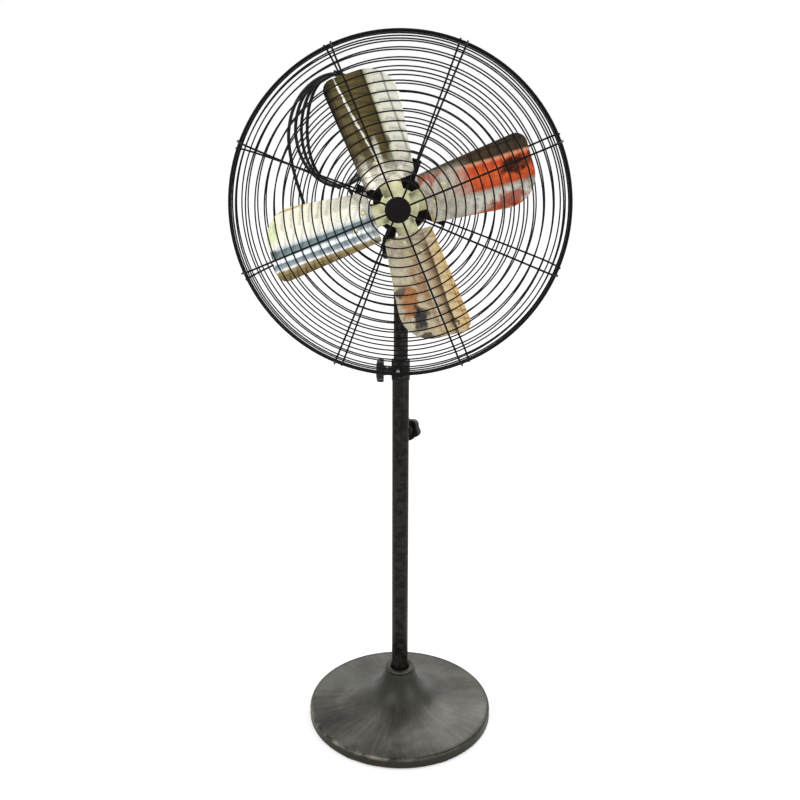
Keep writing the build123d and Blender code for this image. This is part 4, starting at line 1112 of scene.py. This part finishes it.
def addSpider():
    radius, hub, hubEnd, bore = spider["radius"], spider["hub"], spider["hubEnd"], spider["bore"]
    face = bladeCut["centre"]
    back = face - spider["sheet"]
    disc = turnOnLathe([
        (bore, face), (radius - 0.002, face), (radius, face - 0.0012), (radius - 0.001, back),
        (hub + 0.003, back), (hub, back - 0.003), (hub, hubEnd + 0.001), (hub - 0.001, hubEnd),
        (bore, hubEnd)], 72, True)
    start, reach, sheet = spider["armStart"], spider["reach"], spider["sheet"]
    middle = (start + reach) / 2
    arm = addBlock((reach - start, 2 * spider["half"], sheet), moved(middle, 0, -sheet / 2))
    openMesh(arm)
    pick("EDGE", lambda place, way: abs(way.z) > 0.9 and place.x > middle)
    bpy.ops.mesh.bevel(offset=spider["corner"], segments=8)
    pick("FACE", lambda place, normal: normal.x < -0.9)
    scalePicked(1, 0.8)
    closeMesh()
    roundEdges(arm, 0.0006, 2, 40)
    applyPlace(arm, tiltToBand())
    repeatRound(arm, spider["arms"], spider["firstArm"])
    joinPieces(disc, arm)
    standPiece(disc, "bladeSpider", "rotor", "spider_plating", "blade_spider")


rivet = {"radius": 0.006, "rise": 0.0021, "shank": 0.003, "depth": 0.0052, "lift": 0.00188,
         "places": ((0.072, -0.015), (0.098, 0.015))}


def addRivets():
    radius, rise, shank, depth = rivet["radius"], rivet["rise"], rivet["shank"], rivet["depth"]
    heads = []
    for place in rivet["places"]:
        head = turnOnLathe([(0.0, 0.0), (radius, 0.0), (radius, 0.0004), (radius * 0.86, rise * 0.6),
                            (radius * 0.5, rise * 0.93), (0.0, rise)], 24)
        tail = turnOnLathe([(0.0, 0.0001), (shank, 0.0001), (shank, -depth), (0.0, -depth)], 16)
        for piece in (head, tail):
            applyPlace(piece, moved(*place))
            heads.append(piece)
    rivets = joinPieces(*heads)
    applyPlace(rivets, tiltToBand(rivet["lift"]))
    repeatRound(rivets, spider["arms"], spider["firstArm"])
    standPiece(rivets, "bladeRivets", "rotor", "spider_plating", "blade_rivets")


shaft = {"radius": 0.008, "front": 0.134, "back": -0.086, "nut": 0.015, "nutLength": 0.0083}


def addShaft():
    radius, front, back = shaft["radius"], shaft["front"], shaft["back"]
    rod = turnOnLathe([(0.0, front), (radius - 0.0012, front), (radius, front - 0.0012),
                       (radius, back + 0.001), (radius - 0.0008, back), (0.0, back)], 40)
    standPiece(rod, "fanShaft", "rotor", "ground_steel", "fan_shaft")
    nut = addNut(shaft["nut"], shaft["nutLength"])
    applyPlace(nut, moved(z=bladeCut["centre"]))
    standPiece(nut, "shaftNut", "rotor", "zinc_steel", "shaft_nut")


addBlades()
addSpider()
addRivets()
addShaft()
print("rotor made")

# motor: two pressed shells, a saddle bracket, and the switch box behind
motor = {"radius": 0.060, "front": 0.034, "middle": -0.028, "back": -0.090, "wall": 0.003,
         "knee": 0.009, "bearing": 0.0175, "seat": 0.0205, "bearingWidth": 0.011, "hole": 0.0086,
         "grooves": (0.020, 0.030, 0.040)}


def addShell(name, node, end, side):
    # side is 1 for the front shell and -1 for the rear one
    wall, radius, knee = motor["wall"], motor["radius"], motor["knee"]
    inner, hole, bearing, seat = radius - wall, motor["hole"], motor["bearing"], motor["seat"]
    stop = wall + motor["bearingWidth"]
    profile = [(hole, 0), (0.020, 0), (0.0225, 0.0012), (0.046, 0.0012), (0.0485, 0)]
    for k in range(7):
        angle = turn / 4 * k / 6
        profile.append((radius - knee + knee * math.sin(angle), knee - knee * math.cos(angle)))
    for groove in motor["grooves"]:
        profile += [(radius, groove), (radius - 0.0008, groove + 0.0008),
                    (radius - 0.0008, groove + 0.0022), (radius, groove + 0.003)]
    rim = side * (end - motor["middle"]) - 0.0001
    profile += [(radius, rim), (inner, rim), (inner, knee), (inner - 0.006, wall), (seat, wall),
                (seat, stop), (bearing, stop), (bearing, wall), (hole, wall)]
    # depths into the shell become heights
    shell = turnOnLathe([(out, end - side * depth) for out, depth in profile], 96, True)
    standPiece(shell, name, "head", "motor_paint", node, 28)


addShell("motorFrontShell", "motor_front_shell", motor["front"], 1)
addShell("motorRearShell", "motor_rear_shell", motor["back"], -1)
finishPiece(copyOfNode("motor_bracket", 0.0008), "motorBracket", "head", "black_paint",
            "motor_bracket", 40)
finishPiece(copyOfNode("switch_box", 0.0012, 3), "switchBox", "head", "black_plastic", "switch_box")

dial = {"radius": 0.016, "face": 0.1275, "height": 0.013, "aside": 0.013, "mark": 0.0016,
        "rib": 0.0036, "ribHeight": 0.0085, "bore": 0.0032}


def addLid():
    # the lid with four raised marks, one for each place of the knob's pointer
    lid = copyOfNode("switch_box_lid", 0.0009, 3)
    applyPlace(lid, standUp.inverted())
    centre = moved(0, dial["aside"], 0.0004 - dial["face"])
    marks = []
    for degrees in (0, 45, 90, 135):
        mark = addBlock((0.0022 if degrees == 0 else 0.0014, dial["mark"], 0.0008),
                        centre @ turned(-degrees) @ moved(0, dial["radius"] + 0.0011))
        roundEdges(mark, 0.0003, 2)
        marks.append(mark)
    joinPieces(lid, *marks)
    standPiece(lid, "switchBoxLid", "head", "black_plastic", "switch_box_lid")


def addSpeedKnob():
    # a plain cap with a pointer rib across its face
    radius, height, bore = dial["radius"], dial["height"], dial["bore"]
    cap = turnOnLathe([(bore, 0.0), (radius, 0.0), (radius, 0.0035), (radius * 0.9, 0.0045),
                       (radius * 0.84, height - 0.0025), (radius * 0.78, height - 0.0012),
                       (bore, height - 0.0012)], 72, True)
    rib = addBlock((dial["rib"], 2 * radius * 0.94, dial["ribHeight"]),
                   moved(z=height - dial["ribHeight"] / 2))
    openMesh(rib)
    pickTop()
    scalePicked(0.7, 0.84)
    closeMesh()
    roundEdges(rib, 0.0008, 3)
    joinPieces(cap, rib)
    applyPlace(cap, moved(0, dial["aside"], -dial["face"]) @ turned(180, "Y"))
    standPiece(cap, "speedKnob", "speed", "knob_plastic", "speed_knob")


addLid()
addSpeedKnob()
finishPiece(copyOfNode("cord_ties", 0.0005), "cordTies", "head", "black_plastic", "cord_ties")
print("motor and switch made")

# what stays as the CAD made it gets its slot's finish
kept = []
for part in frame["record"]["subparts"]:
    node = frame["nodes"][part["node"]]
    if not node.hide_render:
        for holder in node.material_slots:
            holder.material = finishes[part["material_slot"]]
        kept.append(part["node"])
print("kept from the CAD:", ", ".join(kept))

# a plain pale floor, a pale room and soft lamps, each lamp with its place, size and power
studio = {"floor": (240, 240, 238), "floorPale": (246, 246, 245), "glow": 0.45, "room": 0.68,
          "aim": (0, 0, 0.9), "lamps": {"keyLamp": ((-2.2, -2.6, 3.2), 3.2, 32.0),
                                        "fillLamp": ((2.8, -1.8, 1.8), 2.4, 18.0),
                                        "backLamp": ((1.2, 2.8, 2.9), 1.6, 22.0)}}


def addFloor():
    clearAll()
    bpy.ops.mesh.primitive_plane_add(size=60, location=(0, 0, 0))
    floor = bpy.context.object
    floor.name = "studioFloor"
    paint = bpy.data.materials.new("studioFloor")
    paint.use_nodes = True
    tree = paint.node_tree
    cloud = noise(tree, addNode(tree, "ShaderNodeTexCoord")["Object"], 1.5)
    ray = addNode(tree, "ShaderNodeLightPath")["Is Camera Ray"]
    feed(tree, tree.nodes["Principled BSDF"], {
        "Roughness": 0.8, "Specular IOR Level": 0.1,
        "Base Color": mixColour(tree, cloud, studio["floor"], studio["floorPale"]),
        "Emission Strength": times(tree, ray, studio["glow"]), "Emission Color": (1, 1, 1, 1)})
    floor.data.materials.append(paint)


def addRoom():
    world = bpy.data.worlds.new("room")
    bpy.context.scene.world = world
    world.use_nodes = True
    tree = world.node_tree
    ray = addNode(tree, "ShaderNodeLightPath")
    seen = calculate(tree, "MAXIMUM", ray["Is Camera Ray"], ray["Is Glossy Ray"])
    seen = calculate(tree, "MAXIMUM", seen, ray["Is Transmission Ray"])
    strength = rescale(tree, seen, 0.0, 1.0, studio["room"], 1.0)
    feed(tree, tree.nodes["Background"], {"Strength": strength, "Color": (1, 1, 1, 1)})
    for name, (place, size, power) in studio["lamps"].items():
        way = (Vector(studio["aim"]) - Vector(place)).to_track_quat("-Z", "Y").to_euler()
        bpy.ops.object.light_add(type="AREA", location=place, rotation=way)
        lamp = bpy.context.object
        lamp.name = name
        lamp.data.size = size
        lamp.data.energy = power


addFloor()
addRoom()
bpy.context.scene.view_settings.view_transform = "Standard"
print("studio set")
